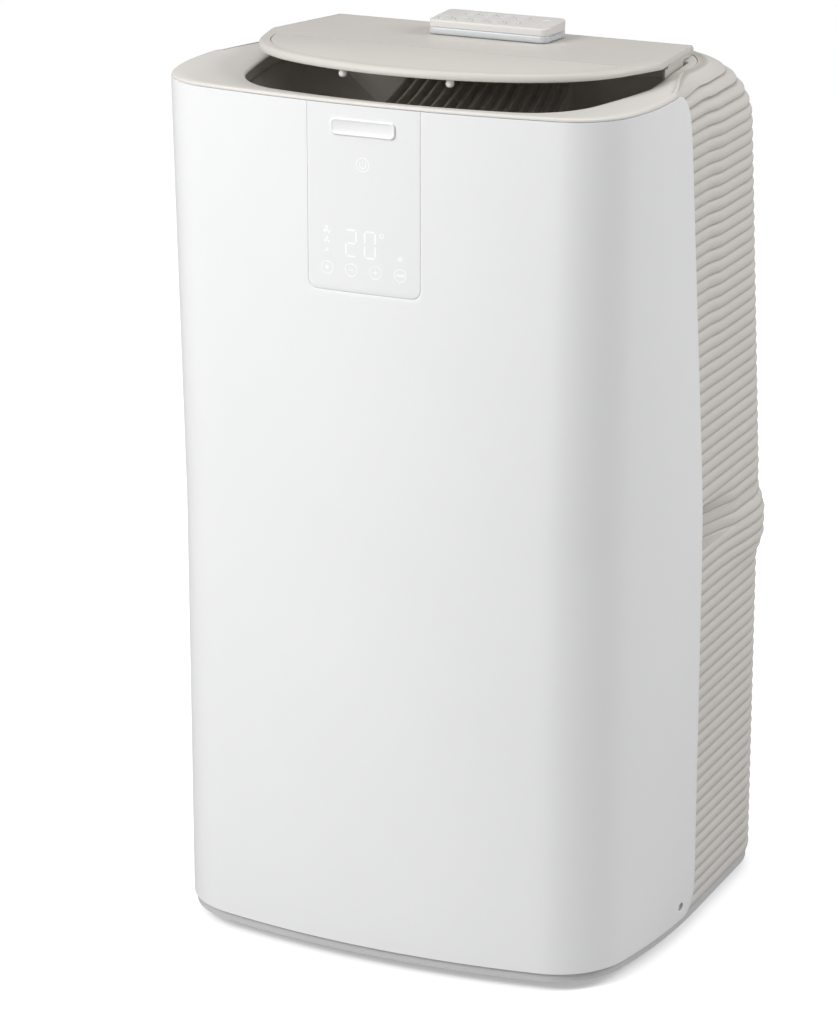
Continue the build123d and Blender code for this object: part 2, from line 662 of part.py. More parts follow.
# ---------------------------------------------------------------------------
# Exhaust collar
# ---------------------------------------------------------------------------
with BuildPart() as exhaust_collar:
    with BuildSketch(Plane.XZ.offset(-HALF_DEPTH)):
        with Locations((COLLAR_X, COLLAR_Z)):
            Circle(COLLAR_BORE_R + 2.6)
            Circle(COLLAR_BORE_R, mode=Mode.SUBTRACT)
    extrude(amount=COLLAR_LENGTH)
    with BuildSketch(Plane.XZ.offset(-HALF_DEPTH + COLLAR_LENGTH)):
        with Locations((COLLAR_X, COLLAR_Z)):
            Circle(COLLAR_BORE_R + 6)
            Circle(COLLAR_BORE_R, mode=Mode.SUBTRACT)
    extrude(amount=-3)
save(exhaust_collar.part, "exhaust_collar")


# ---------------------------------------------------------------------------
# Blowers
# ---------------------------------------------------------------------------
def blower(prefix, cx, cz, wheel_r, casing_r, y_low, y_high, way, reach):
    """Centrifugal blower on a Y axis; its casing opens along way, reach from the axis."""
    wall = 2.5
    duct_x, duct_z = way[0] * reach / 2, way[1] * reach / 2
    wide_x = reach if way[0] else 2 * casing_r
    wide_z = reach if way[1] else 2 * casing_r
    motor_r, shaft_r = 38.0, 4.0
    motor_front = y_low - 62
    with BuildPart() as casing:
        with BuildSketch(Plane.XZ.offset(-y_low)):
            with Locations((cx, cz)):
                Circle(casing_r)
            with Locations((cx + duct_x, cz + duct_z)):
                Rectangle(wide_x, wide_z)
        extrude(amount=y_low - y_high)
        with BuildSketch(Plane.XZ.offset(-y_low - wall)):
            with Locations((cx, cz)):
                Circle(casing_r - wall)
            with Locations((cx + duct_x + way[0], cz + duct_z + way[1])):
                Rectangle(wide_x - 2 * wall * abs(way[1]) + 2 * abs(way[0]),
                          wide_z - 2 * wall * abs(way[0]) + 2 * abs(way[1]))
        extrude(amount=y_low - y_high + 2 * wall, mode=Mode.SUBTRACT)
        with BuildSketch(Plane.XZ.offset(-y_high)):
            with Locations((cx, cz)):
                Circle(wheel_r * 0.8)
        extrude(amount=wall + 1, mode=Mode.SUBTRACT)
        with BuildSketch(Plane.XZ.offset(-y_low + 1)):
            with Locations((cx, cz)):
                Circle(shaft_r + 4)
        extrude(amount=-wall - 2, mode=Mode.SUBTRACT)
    save(casing.part, f"{prefix}_blower_housing")

    wheel_low, wheel_high = y_low + 8, y_high - 8
    with BuildPart() as wheel:
        with BuildSketch(Plane.XZ.offset(-wheel_low)):
            with Locations((cx, cz)):
                Circle(wheel_r)
        extrude(amount=-2)
        with BuildSketch(Plane.XZ.offset(-wheel_low)):
            with Locations((cx, cz)):
                Circle(12)
        extrude(amount=-30)
        with BuildSketch(Plane.XZ.offset(-wheel_high + 3)):
            with Locations((cx, cz)):
                Circle(wheel_r)
                Circle(wheel_r - 14, mode=Mode.SUBTRACT)
        extrude(amount=-3)
        with BuildSketch(Plane.XZ.offset(-wheel_low)):
            with Locations((cx, cz)):
                with PolarLocations(wheel_r - 8, 32):
                    Rectangle(12, 1.6, rotation=35)
        extrude(amount=wheel_low - wheel_high)
        with BuildSketch(Plane.XZ.offset(-wheel_low + 1)):
            with Locations((cx, cz)):
                Circle(shaft_r)
        extrude(amount=-40, mode=Mode.SUBTRACT)
    save(wheel.part, f"{prefix}_blower_wheel")

    with BuildPart() as shaft:
        with BuildSketch(Plane.XZ.offset(-motor_front - 12)):
            with Locations((cx, cz)):
                Circle(shaft_r)
        extrude(amount=motor_front + 12 - wheel_low - 29)
    save(shaft.part, f"{prefix}_blower_shaft")

    with BuildPart() as motor:
        with BuildSketch(Plane.XZ.offset(-motor_front)):
            with Locations((cx, cz)):
                Circle(motor_r)
        extrude(amount=motor_front - y_low + 0.6)
        for z_end in (motor_front, y_low - 0.6):
            chamfer(motor.edges().filter_by(GeomType.CIRCLE).filter_by_position(
                Axis.Y, z_end - 0.1, z_end + 0.1), 3)
        with BuildSketch(Plane.XZ.offset(-motor_front - 10)):
            with Locations((cx, cz)):
                Circle(shaft_r + RUNNING)
        extrude(amount=-70, mode=Mode.SUBTRACT)
    save(motor.part, f"{prefix}_motor")


EVAPORATOR_BLOWER_Z = 512.0
blower("evaporator", 0, EVAPORATOR_BLOWER_Z, 88, BLOWER_X - 1, BLOWER_LOW_Y, BLOWER_HIGH_Y,
       (0, 1), DUCT_LOW - GAP - EVAPORATOR_BLOWER_Z)
blower("condenser", 80, COLLAR_Z, 72, 88, 52, 118, (-1, 0), 226)

# ---------------------------------------------------------------------------
# Refrigeration circuit
# ---------------------------------------------------------------------------


def coil(name, x, y, z):
    """Finned coil: end plates, a block of spaced fins and the tube bends on one side."""
    fin_pitch = 10.0
    count = int((x[1] - x[0] - 12) / fin_pitch)
    mid_x, mid_y, mid_z = (x[0] + x[1]) / 2, (y[0] + y[1]) / 2, (z[0] + z[1]) / 2
    with BuildPart() as pack:
        with Locations((mid_x, mid_y, mid_z)):
            with GridLocations(x[1] - x[0] - 2, 0, 2, 1):
                Box(2, y[1] - y[0], z[1] - z[0])
            with GridLocations(fin_pitch, 0, count, 1):
                Box(1.2, y[1] - y[0] - 2, z[1] - z[0] - 4)
        with BuildSketch(Plane.YZ.offset(x[0])):
            with Locations((mid_y, mid_z)):
                with GridLocations(18, 24, 2, int((z[1] - z[0] - 20) / 24)):
                    Circle(4)
        extrude(amount=x[1] - x[0])
    save(pack.part, name)


coil("condenser_coil", (-8, 172), (126, 160), (78, 342))
coil("evaporator_coil", (-135, 135), (100, 136), (382, 648))

COMPRESSOR_PLACE, COMPRESSOR_R = (-112, -40), 60.0
COMPRESSOR_LOW, COMPRESSOR_HIGH = 66.0, 312.0
with BuildPart() as compressor:
    with BuildSketch(Plane.XY.offset(COMPRESSOR_LOW + 4)):
        with Locations(COMPRESSOR_PLACE):
            Circle(COMPRESSOR_R)
    extrude(amount=COMPRESSOR_HIGH - COMPRESSOR_LOW - 4)
    fillet(compressor.edges().filter_by(GeomType.CIRCLE), 16)
    with BuildSketch(Plane.XY.offset(COMPRESSOR_LOW)):
        with Locations(COMPRESSOR_PLACE):
            with PolarLocations(0, 3):
                with Locations((66, 0)):
                    Circle(9)
                with Locations((33, 0)):
                    Rectangle(66, 18)
    extrude(amount=4)
    with BuildSketch(Plane.XY.offset(COMPRESSOR_LOW + 30)):
        with Locations(COMPRESSOR_PLACE):
            Circle(COMPRESSOR_R - 14)
    extrude(amount=190, mode=Mode.SUBTRACT)
save(compressor.part, "compressor")

with BuildPart() as compressor_feet:
    with BuildSketch(Plane.XY.offset(DECK_TOP)):
        with Locations(COMPRESSOR_PLACE):
            with PolarLocations(0, 3):
                with Locations((66, 0)):
                    Circle(10)
    extrude(amount=COMPRESSOR_LOW - DECK_TOP)
save(compressor_feet.part, "compressor_feet")

ACCUMULATOR_PLACE = (-38, -118)
with BuildPart() as accumulator:
    with BuildSketch(Plane.XY.offset(110)):
        with Locations(ACCUMULATOR_PLACE):
            Circle(23)
    extrude(amount=150)
    fillet(accumulator.edges().filter_by(GeomType.CIRCLE), 9)
save(accumulator.part, "accumulator")


def pipe(radius, bend, *points):
    """Bent refrigerant pipe through the given corners."""
    with BuildPart() as bent:
        with BuildLine() as route:
            FilletPolyline(*points, radius=bend)
        start = Vector(*points[0])
        with BuildSketch(Plane(origin=start, z_dir=Vector(*points[1]) - start)):
            Circle(radius)
        sweep(path=route.line)
    return bent.part


GAS_PIPE_R, LIQUID_PIPE_R = 4.0, 3.0
SIDE_RUN_X, COIL_PIPE_Y, EVAPORATOR_PIPE_Y = 197, 149, 118
DISCHARGE_Z, SUCTION_Z = 334, 290
discharge_pipe = pipe(GAS_PIPE_R, 12, (*COMPRESSOR_PLACE, COMPRESSOR_HIGH), (*COMPRESSOR_PLACE, DISCHARGE_Z),
                      (COMPRESSOR_PLACE[0], COIL_PIPE_Y, DISCHARGE_Z), (-30, COIL_PIPE_Y, DISCHARGE_Z),
                      (-30, COIL_PIPE_Y, 314), (-8, COIL_PIPE_Y, 314))
suction_pipe = pipe(GAS_PIPE_R, 14, (-135, EVAPORATOR_PIPE_Y, 420), (-SIDE_RUN_X, EVAPORATOR_PIPE_Y, 420),
                    (-SIDE_RUN_X, EVAPORATOR_PIPE_Y, SUCTION_Z), (-SIDE_RUN_X, ACCUMULATOR_PLACE[1], SUCTION_Z),
                    (*ACCUMULATOR_PLACE, SUCTION_Z), (*ACCUMULATOR_PLACE, 260))
liquid_pipe = pipe(LIQUID_PIPE_R, 12, (172, COIL_PIPE_Y, 90), (192, COIL_PIPE_Y, 90), (SIDE_RUN_X, 100, 120),
                   (SIDE_RUN_X, 100, 400), (160, EVAPORATOR_PIPE_Y, 400), (135, EVAPORATOR_PIPE_Y, 400))
pipes = [discharge_pipe, suction_pipe, liquid_pipe]
save(Compound(children=pipes), "refrigerant_pipes")

with BuildPart() as control_box:
    with Locations((105, -135, 225)):
        Box(140, 56, 200)
    fillet(control_box.edges(), 3)
save(control_box.part, "control_box")

# ---------------------------------------------------------------------------
# Remote control, lying on the flap
# ---------------------------------------------------------------------------
remote_plane = flap_plane.offset(FLAP_LOW + FLAP_THICK + 0.3)
REMOTE_SPLIT = 6.5
BOARD_LOW, BOARD_THICK = 7.2, 1.2
rise = math.degrees(math.atan((REMOTE_REAR_H - REMOTE_FRONT_H) / REMOTE_DEPTH))
remote_top_plane = Plane(origin=remote_plane.from_local_coords(
    (REMOTE_X, REMOTE_FROM_HINGE, (REMOTE_FRONT_H + REMOTE_REAR_H) / 2)),
    x_dir=(1, 0, 0), z_dir=(0, math.sin(tilt - math.radians(rise)), math.cos(tilt - math.radians(rise))))
button_places = [(-REMOTE_WIDTH / 2 + 11 + BUTTON_PITCH * i, -10) for i in range(5)]
button_places += [(-REMOTE_WIDTH / 2 + 27.5 + BUTTON_PITCH * i, 10) for i in range(4)]

with BuildPart() as remote_top:
    with BuildSketch(remote_plane.offset(REMOTE_SPLIT)):
        with Locations((REMOTE_X, REMOTE_FROM_HINGE)):
            RectangleRounded(REMOTE_WIDTH, REMOTE_DEPTH, 6)
    extrude(amount=14)
    with BuildSketch(remote_top_plane):
        Rectangle(2 * REMOTE_WIDTH, 2 * REMOTE_DEPTH)
    extrude(amount=20, mode=Mode.SUBTRACT)
    with BuildSketch(remote_plane.offset(REMOTE_SPLIT)):
        with Locations((REMOTE_X, REMOTE_FROM_HINGE)):
            RectangleRounded(REMOTE_WIDTH - 4, REMOTE_DEPTH - 4, 4)
    extrude(amount=REMOTE_FRONT_H - REMOTE_SPLIT - 2, mode=Mode.SUBTRACT)
    with BuildSketch(remote_top_plane.offset(1)):
        with Locations(*button_places):
            Circle(BUTTON_R + 0.25)
    extrude(amount=-12, mode=Mode.SUBTRACT)
    with BuildSketch(remote_top_plane.offset(-0.5)):
        with Locations((REMOTE_WIDTH / 2 - 13, 2)):
            SlotOverall(17, 6.5, rotation=90)
    extrude(amount=2, mode=Mode.SUBTRACT)
save(remote_top.part, "remote_top")

TRAY_WIDTH, TRAY_LENGTH, TRAY_THICK = 24.0, 30.0, 4.0
tray_x = REMOTE_X + REMOTE_WIDTH / 2 - TRAY_LENGTH / 2
with BuildPart() as remote_bottom:
    with BuildSketch(remote_plane):
        with Locations((REMOTE_X, REMOTE_FROM_HINGE)):
            RectangleRounded(REMOTE_WIDTH, REMOTE_DEPTH, 6)
    extrude(amount=REMOTE_SPLIT - 0.1)
    with BuildSketch(remote_plane.offset(1)):
        with Locations((tray_x + 2, REMOTE_FROM_HINGE)):
            Rectangle(TRAY_LENGTH + 4.8, TRAY_WIDTH + 0.8)
    extrude(amount=TRAY_THICK + 0.6, mode=Mode.SUBTRACT)
save(remote_bottom.part, "remote_bottom")

with BuildPart() as battery_tray:
    with BuildSketch(remote_plane.offset(1.3)):
        with Locations((tray_x, REMOTE_FROM_HINGE)):
            Rectangle(TRAY_LENGTH, TRAY_WIDTH)
    extrude(amount=TRAY_THICK)
    with BuildSketch(remote_plane.offset(2.3)):
        with Locations((tray_x - 1, REMOTE_FROM_HINGE)):
            Circle(10.3)
    extrude(amount=TRAY_THICK, mode=Mode.SUBTRACT)
with BuildPart() as coin_cell:
    with BuildSketch(remote_plane.offset(2.35)):
        with Locations((tray_x - 1, REMOTE_FROM_HINGE)):
            Circle(10)
    extrude(amount=2.5)
save(Compound(children=[battery_tray.part, coin_cell.part]), "remote_battery_tray")

with BuildPart() as remote_board:
    with BuildSketch(remote_plane.offset(BOARD_LOW)):
        with Locations((REMOTE_X, REMOTE_FROM_HINGE)):
            Rectangle(REMOTE_WIDTH - 8, REMOTE_DEPTH - 8)
    extrude(amount=BOARD_THICK)
save(remote_board.part, "remote_board")

for number, (bx, by) in enumerate(button_places, start=1):
    top_h = 0.7
    low = (REMOTE_FRONT_H + REMOTE_REAR_H) / 2 + by * math.tan(math.radians(rise))
    length = low - BOARD_LOW - BOARD_THICK - BUTTON_TRAVEL_ROOM + top_h
    with BuildPart() as button:
        with BuildSketch(remote_top_plane.offset(top_h)):
            with Locations((bx, by)):
                Circle(BUTTON_R)
        extrude(amount=-length)
    save(button.part, f"remote_button_{number}")

print(len(pieces), "pieces")
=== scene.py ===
"""Looks of the portable air conditioner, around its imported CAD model. +Z up, front facing -Y."""
import json
import math

import bmesh
import bpy
import numpy as np
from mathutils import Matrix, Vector


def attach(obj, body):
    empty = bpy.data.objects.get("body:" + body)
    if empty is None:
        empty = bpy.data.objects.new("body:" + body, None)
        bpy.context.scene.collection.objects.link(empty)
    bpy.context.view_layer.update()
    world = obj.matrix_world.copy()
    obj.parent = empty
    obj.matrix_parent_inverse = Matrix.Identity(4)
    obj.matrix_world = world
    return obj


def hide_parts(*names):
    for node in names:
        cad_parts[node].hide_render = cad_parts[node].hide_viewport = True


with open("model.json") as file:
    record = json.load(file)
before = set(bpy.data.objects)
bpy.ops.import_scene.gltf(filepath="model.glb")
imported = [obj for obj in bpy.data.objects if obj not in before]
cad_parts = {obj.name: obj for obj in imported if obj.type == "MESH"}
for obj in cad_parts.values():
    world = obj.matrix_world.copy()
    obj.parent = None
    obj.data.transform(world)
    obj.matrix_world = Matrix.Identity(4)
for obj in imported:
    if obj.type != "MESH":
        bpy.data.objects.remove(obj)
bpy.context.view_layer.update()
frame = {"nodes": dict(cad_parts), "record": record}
scene = bpy.context.scene
looks = {}
MM = 0.001

# ---- Sizes shared with the CAD model, in millimetres ----
HALF_WIDTH, HALF_DEPTH = 220.0, 200.0
SHELL_BOTTOM, SHELL_TOP, BODY_TOP = 18.0, 754.0, 757.0
WALL, SEAM = 3.0, 0.4
LEAN_START, REAR_LEAN, TOP_NARROWING = 385.0, 30.0, 6.0
REAR_CORNER_R, SHOULDER_R = 80.0, 58.0
SHOULDER_START = BODY_TOP - SHOULDER_R * math.sin(math.radians(80))
FLANK_SHOULDER = 0.58
SPLIT_Y, SPLIT_TOP_Y = -3.0, -38.0
SPLIT_LOW_R, SPLIT_HIGH_R = 25.0, 22.0
GRIP_FLOOR, GRIP_BACK_TOP, GRIP_TOP, GRIP_DEPTH, GRIP_REAR_Y = 348.0, 370.0, 392.0, 20.0, 75.0
BULGE, BULGE_LOW, BULGE_HIGH, BULGE_FADE = 6.0, 322.0, 346.0, 24.0
PANEL_X, PANEL_WIDTH, PANEL_LOW, PANEL_R = -5.0, 101.0, 599.0, 8.0
RIB_PITCH = 10.7
UPPER_DRAIN, LOWER_DRAIN, CABLE_PLACE = (100.0, 364.0), (60.0, 40.0), (120.0, 66.0)
NAMEPLATE_Z = 736.0
COLLAR_X, COLLAR_Z, COLLAR_BORE_R = -78.0, 200.0, 62.0
HINGE_Y, HINGE_Z, FLAP_TILT = 84.0, 748.0, math.radians(2.75)
FLAP_LOW, FLAP_THICK = 12.0, 7.0
MOUTH_REAR_Y = 62.0
HINGE_X, SEAM_Y = 128.0, -137.0
# ends of the plan outline's front face, corner and straight flank, each at the foot and at the top
FRONT_END_X, FRONT_END_Y = (150, 160), (186, 187.5)
CORNER_END_X, CORNER_END_Y = (205, 207), (-133, -146)
FLANK_FROM_Y, FLANK_TO_Y = (0, -86), (40, -80)
REAR_POINTS = 24
MOUTH_FRONT_Y, MOUTH_HALF_WIDTH = -165.0, 174
FLAP_NOSE_Y, FLAP_HALF_WIDTH, FLAP_REAR_HALF_WIDTH, FLAP_REAR_Y = -246.0, 180, 167, 4.0
UPPER_WINDOW = (-130.0, 130.0, 38, 63)
LOWER_WINDOW = (5.0, 135.0, 6, 30)


# ---- Small helpers ----
def mix(low, high, share):
    return low + (high - low) * share


def smooth(value, start, end):
    """0 before start, 1 after end, an eased step between; works on arrays."""
    share = np.clip((value - start) / (end - start), 0, 1)
    return share * share * (3 - 2 * share)


def new_object(name, verts, faces, scale=MM):
    """Mesh object from points in millimetres."""
    mesh = bpy.data.meshes.new(name)
    mesh.from_pydata((np.asarray(verts, float) * scale).tolist(), [], [list(f) for f in faces])
    mesh.validate()
    obj = bpy.data.objects.new(name, mesh)
    scene.collection.objects.link(obj)
    return obj


def modify(obj, kind, **settings):
    mod = obj.modifiers.new(kind.lower(), kind)
    for key, value in settings.items():
        setattr(mod, key, value)


def bake(obj):
    """Apply every modifier of obj."""
    depsgraph = bpy.context.evaluated_depsgraph_get()
    mesh = bpy.data.meshes.new_from_object(obj.evaluated_get(depsgraph))
    obj.modifiers.clear()
    obj.data = mesh
    return obj


def cut(obj, cutter, operation="DIFFERENCE"):
    """Boolean with a throw-away cutter."""
    modify(obj, "BOOLEAN", object=cutter, operation=operation, solver="EXACT")
    bake(obj)
    bpy.data.objects.remove(cutter)


def join(name, *objects):
    """One object out of several."""
    verts, faces = [], []
    for obj in objects:
        base = len(verts)
        verts += [tuple(obj.matrix_world @ v.co) for v in obj.data.vertices]
        faces += [[base + i for i in p.vertices] for p in obj.data.polygons]
        bpy.data.objects.remove(obj)
    return new_object(name, verts, faces, scale=1)


def finish_piece(obj, body, slot, *replaced, look=None, angle=32):
    """Smooth all but edges sharper than angle, give the piece the material of its slot (or of look), and hang
    it on its body.
    """
    obj.data.shade_smooth()
    obj.data.set_sharp_from_angle(angle=math.radians(angle))
    obj.data.materials.clear()
    obj.data.materials.append(looks[look or slot])
    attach(obj, body)
    if replaced:
        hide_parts(*replaced)


def grid_faces(rows, columns, closed=False):
    """Quads of a grid of points stored row by row."""
    faces = []
    for r in range(rows - 1):
        for c in range(columns if closed else columns - 1):
            d = (c + 1) % columns
            faces.append((r * columns + c, r * columns + d, (r + 1) * columns + d, (r + 1) * columns + c))
    return faces


# ---- Plan outline of the cabinet ----
def lean_at(z, top=BODY_TOP):
    """0 up to where the body starts to lean, 1 at top."""
    return min(max((z - LEAN_START) / (top - LEAN_START), 0), 1)


def arc_points(start, end, tangent, count):
    """Points of the arc from start to end that leaves along tangent, without its first point."""
    start, end, tangent = np.array(start, float), np.array(end, float), np.array(tangent, float)
    tangent /= np.linalg.norm(tangent)
    chord = end - start
    normal = np.array([-tangent[1], tangent[0]])
    across = chord @ normal
    if abs(across) < 1e-9:
        steps = np.linspace(0, 1, count + 1)[1:, None]
        return start + chord * steps, tangent
    radius = chord @ chord / (2 * across)
    centre = start + normal * radius
    turn = 2 * math.atan2(across, chord @ tangent)
    angles = np.linspace(0, turn, count + 1)[1:]
    spoke = start - centre
    cos, sin = np.cos(angles), np.sin(angles)
    points = np.stack([spoke[0] * cos - spoke[1] * sin, spoke[0] * sin + spoke[1] * cos], 1) + centre
    end_tangent = np.array([tangent[0] * math.cos(turn) - tangent[1] * math.sin(turn),
                            tangent[0] * math.sin(turn) + tangent[1] * math.cos(turn)])
    return points, end_tangent


def line_points(start, end, count):
    start, end = np.array(start, float), np.array(end, float)
    return start + (end - start) * np.linspace(0, 1, count + 1)[1:, None]


def half_outline(z, inset=0.0):
    """Right half of the plan outline at height z, from front centre round to rear centre."""
    side_steps = 16
    lean = lean_at(z)
    rise = min(max((z - SHOULDER_START) / SHOULDER_R, 0), 0.9999)
    pull_in = SHOULDER_R * (1 - math.sqrt(1 - rise * rise))
    bulge = BULGE * float(smooth(z, BULGE_LOW - BULGE_FADE, BULGE_LOW + 4)
                          * (1 - smooth(z, BULGE_HIGH - 4, BULGE_HIGH + BULGE_FADE)))
    flank = HALF_WIDTH - TOP_NARROWING * lean - inset
    rear_flank = flank + bulge - FLANK_SHOULDER * pull_in
    rear = HALF_DEPTH - REAR_LEAN * lean + bulge / 4 - pull_in - inset
    corner = REAR_CORNER_R - inset
    front_end = (mix(*FRONT_END_X, lean) - 0.18 * inset, 0.98 * inset - mix(*FRONT_END_Y, lean))
    corner_end = (mix(*CORNER_END_X, lean) - 0.97 * inset, mix(*CORNER_END_Y, lean) + 0.22 * inset)
    side_start, side_mid = (flank, mix(*FLANK_FROM_Y, lean)), (flank, mix(*FLANK_TO_Y, lean))
    side_end = (rear_flank, rear - corner)
    first = np.array([[0, inset - HALF_DEPTH]])
    front, heading = arc_points(first[0], front_end, (1, 0), 24)
    turn, heading = arc_points(front_end, corner_end, heading, 20)
    flat = arc_points(corner_end, side_start, heading, side_steps)[0]
    straight = line_points(side_start, side_mid, 4)
    share = np.linspace(0, 1, side_steps + 1)[1:]
    swept = np.stack([mix(side_mid[0], side_end[0], smooth(share, 0, 1)),
                      mix(side_mid[1], side_end[1], share)], 1)
    back = arc_points(side_end, (rear_flank - corner, rear), (0, 1), 20)[0]
    rest = line_points((rear_flank - corner, rear), (0, rear), REAR_POINTS)
    return np.concatenate([first, front, turn, flat, straight, swept, back, rest])


def crossing(points, y):
    """Where an outline, past its front face, reaches y: the next point's index, and the point there."""
    late = np.nonzero((points[:, 1] >= y) & (np.arange(len(points)) > 20))[0][0]
    a, b = points[late - 1], points[late]
    return late, a + (b - a) * ((y - a[1]) / (b[1] - a[1]))


def along(points, stops):
    """Resample a polyline at stops, which are shares of its length."""
    lengths = np.concatenate([[0], np.cumsum(np.linalg.norm(np.diff(points, axis=0), axis=1))])
    return np.stack([np.interp(stops * lengths[-1], lengths, points[:, k]) for k in (0, 1)], 1)


def split_y(z):
    """Rear edge of the white shell in side view."""
    y = SPLIT_Y + (SPLIT_TOP_Y - SPLIT_Y) * lean_at(z, SHELL_TOP)
    soft = 60.0
    if abs(z - LEAN_START) < soft:
        slope = (SPLIT_TOP_Y - SPLIT_Y) / (SHELL_TOP - LEAN_START)
        y = SPLIT_Y + slope * (z - LEAN_START + soft) ** 2 / (4 * soft)
    low, high = z - SHELL_BOTTOM, SHELL_TOP - z
    if low < SPLIT_LOW_R:
        y -= SPLIT_LOW_R - math.sqrt(max(SPLIT_LOW_R ** 2 - (SPLIT_LOW_R - low) ** 2, 0))
    if high < SPLIT_HIGH_R:
        y -= SPLIT_HIGH_R - math.sqrt(max(SPLIT_HIGH_R ** 2 - (SPLIT_HIGH_R - high) ** 2, 0))
    return y


# ---- Materials ----
def set_inputs(tree, node, inputs):
    """Link inputs given as sockets of other nodes, and set the others to their values."""
    for key, value in inputs.items():
        if isinstance(value, bpy.types.NodeSocket):
            tree.links.new(value, node.inputs[key])
        else:
            node.inputs[key].default_value = value
    return node


def add_node(tree, kind, inputs, **settings):
    node = tree.nodes.new("ShaderNode" + kind)
    for key, value in settings.items():
        setattr(node, key, value)
    return set_inputs(tree, node, inputs)


def plastic(name, color, rough, grain=900.0, bump=0.04, vary=0.03, coat=0.0, specular=0.5, cloud=7.0):
    """Moulded plastic: a base colour that drifts slowly in tone, fine spark-eroded grain, uneven gloss."""
    mat = bpy.data.materials.new(name)
    mat.use_nodes = True
    tree = mat.node_tree
    coords = tree.nodes.new("ShaderNodeTexCoord")

    def noise(scale, detail):
        inputs = {"Scale": scale, "Detail": detail, "Vector": coords.outputs["Object"]}
        return add_node(tree, "TexNoise", inputs).outputs["Fac"]

    tone = add_node(tree, "ValToRGB", {"Fac": noise(cloud, 3)})
    for element, position, factor in zip(tone.color_ramp.elements, (0.3, 0.7), (1 - vary, 1 + vary)):
        element.color = [min(c * factor, 1) for c in color] + [1]
        element.position = position
    gloss = add_node(tree, "MapRange", {"Value": noise(cloud * 6, 4), "To Min": rough * 0.88,
                                        "To Max": min(rough * 1.12, 1)})
    relief = add_node(tree, "Bump", {"Strength": bump, "Distance": GRAIN_HEIGHT, "Height": noise(grain, 2)})
    set_inputs(tree, tree.nodes["Principled BSDF"], {
        "Base Color": tone.outputs["Color"], "Roughness": gloss.outputs["Result"],
        "Normal": relief.outputs["Normal"], "Coat Weight": coat, "Coat Roughness": COAT_ROUGHNESS,
        "Specular IOR Level": specular})
    looks[name] = mat
    return tree


def ribbed_plastic(name, color, rough):
    """Moulded plastic whose grooves, at every rib pitch of height, get painted shade."""
    tree = plastic(name, color, rough, grain=1000, bump=0.05, vary=0.02)
    split = add_node(tree, "SeparateXYZ", {"Vector": tree.nodes["Texture Coordinate"].outputs["Object"]})

    def calculate(operation, source, value):
        return add_node(tree, "Math", {0: source, 1: value}, operation=operation).outputs["Value"]

    above = calculate("SUBTRACT", split.outputs["Z"], SHELL_BOTTOM * MM)
    ribs_up = calculate("DIVIDE", above, RIB_PITCH * MM)
    centred = calculate("SUBTRACT", calculate("FRACT", ribs_up, 0), 0.5)
    # painted shade: the base colour is multiplied by GROOVE_SHADE more and more towards each groove between
    # ribs
    edge = add_node(tree, "MapRange", {"From Min": GROOVE_SHADE_FROM, "From Max": 0.5,
                                       "Value": calculate("ABSOLUTE", centred, 0)},
                    interpolation_type="SMOOTHSTEP")
    shaded = add_node(tree, "Mix", {"Factor": edge.outputs["Result"], "B": GROOVE_SHADE,
                                    "A": tree.nodes["Color Ramp"].outputs["Color"]},
                      data_type="RGBA", blend_type="MULTIPLY")
    set_inputs(tree, tree.nodes["Principled BSDF"], {"Base Color": shaded.outputs["Result"]})


def metal(name, color, rough, stretch=(1, 1, 40)):
    """Brushed or drawn metal: streaks along one axis in tone, gloss and relief."""
    tree = plastic(name, color, rough, grain=300, bump=0.05, vary=0.06)
    tree.nodes["Principled BSDF"].inputs["Metallic"].default_value = 1.0
    streaks = add_node(tree, "Mapping", {"Scale": stretch,
                                         "Vector": tree.nodes["Texture Coordinate"].outputs["Object"]})
    for node in [n for n in tree.nodes if n.type == "TEX_NOISE"]:
        set_inputs(tree, node, {"Vector": streaks.outputs["Vector"]})


GRAIN_HEIGHT, COAT_ROUGHNESS = 0.0006, 0.12
# painted shade in the rib grooves: where it starts, as a share of half a rib, and the colour it multiplies in
GROOVE_SHADE_FROM, GROOVE_SHADE = 0.36, (0.72, 0.70, 0.67, 1)
# name, base colour, roughness, grain, bump, variation in tone
plastic("shell_white", (0.86, 0.862, 0.865), 0.34, 1400, 0.015, 0.008, coat=0.1)
plastic("display_white", (0.845, 0.848, 0.852), 0.32, 1500, 0.01, 0.008, coat=0.2)
plastic("symbol_white", (0.97, 0.975, 0.98), 0.33, 1500, 0.01, 0.005)
plastic("trim_greige", (0.68, 0.655, 0.62), 0.46, 1100, 0.05, 0.02)
# painted shade: a darker copy of the trim greige for the flap lid, whose top catches more light than the ring
plastic("lid_greige_shaded", (0.59, 0.565, 0.53), 0.46, 1100, 0.05, 0.02)
plastic("trim_greige_inset", (0.60, 0.575, 0.54), 0.42, 1100, 0.05, 0.02)
ribbed_plastic("rib_greige", (0.635, 0.61, 0.58), 0.5)
plastic("louvre_dark", (0.56, 0.53, 0.485), 0.45, 900, 0.05, 0.08)
plastic("base_grey", (0.60, 0.60, 0.595), 0.5, 900, 0.05, 0.03)
plastic("duct_dark", (0.60, 0.572, 0.53), 0.5, 900, 0.06, 0.06)
plastic("inner_black", (0.04, 0.04, 0.04), 0.55, 700, 0.08, 0.12)
plastic("rubber_dark", (0.06, 0.06, 0.06), 0.75, 500, 0.12, 0.12)
plastic("bumper_white", (0.82, 0.82, 0.80), 0.5, 900, 0.04, 0.02)
plastic("remote_greige", (0.65, 0.635, 0.61), 0.42, 1200, 0.03, 0.015)
plastic("remote_white", (0.52, 0.54, 0.55), 0.34, 1400, 0.015, 0.01, coat=0.15)
plastic("button_grey", (0.64, 0.63, 0.61), 0.45, 1300, 0.03, 0.015)
metal("steel", (0.56, 0.56, 0.57), 0.33)
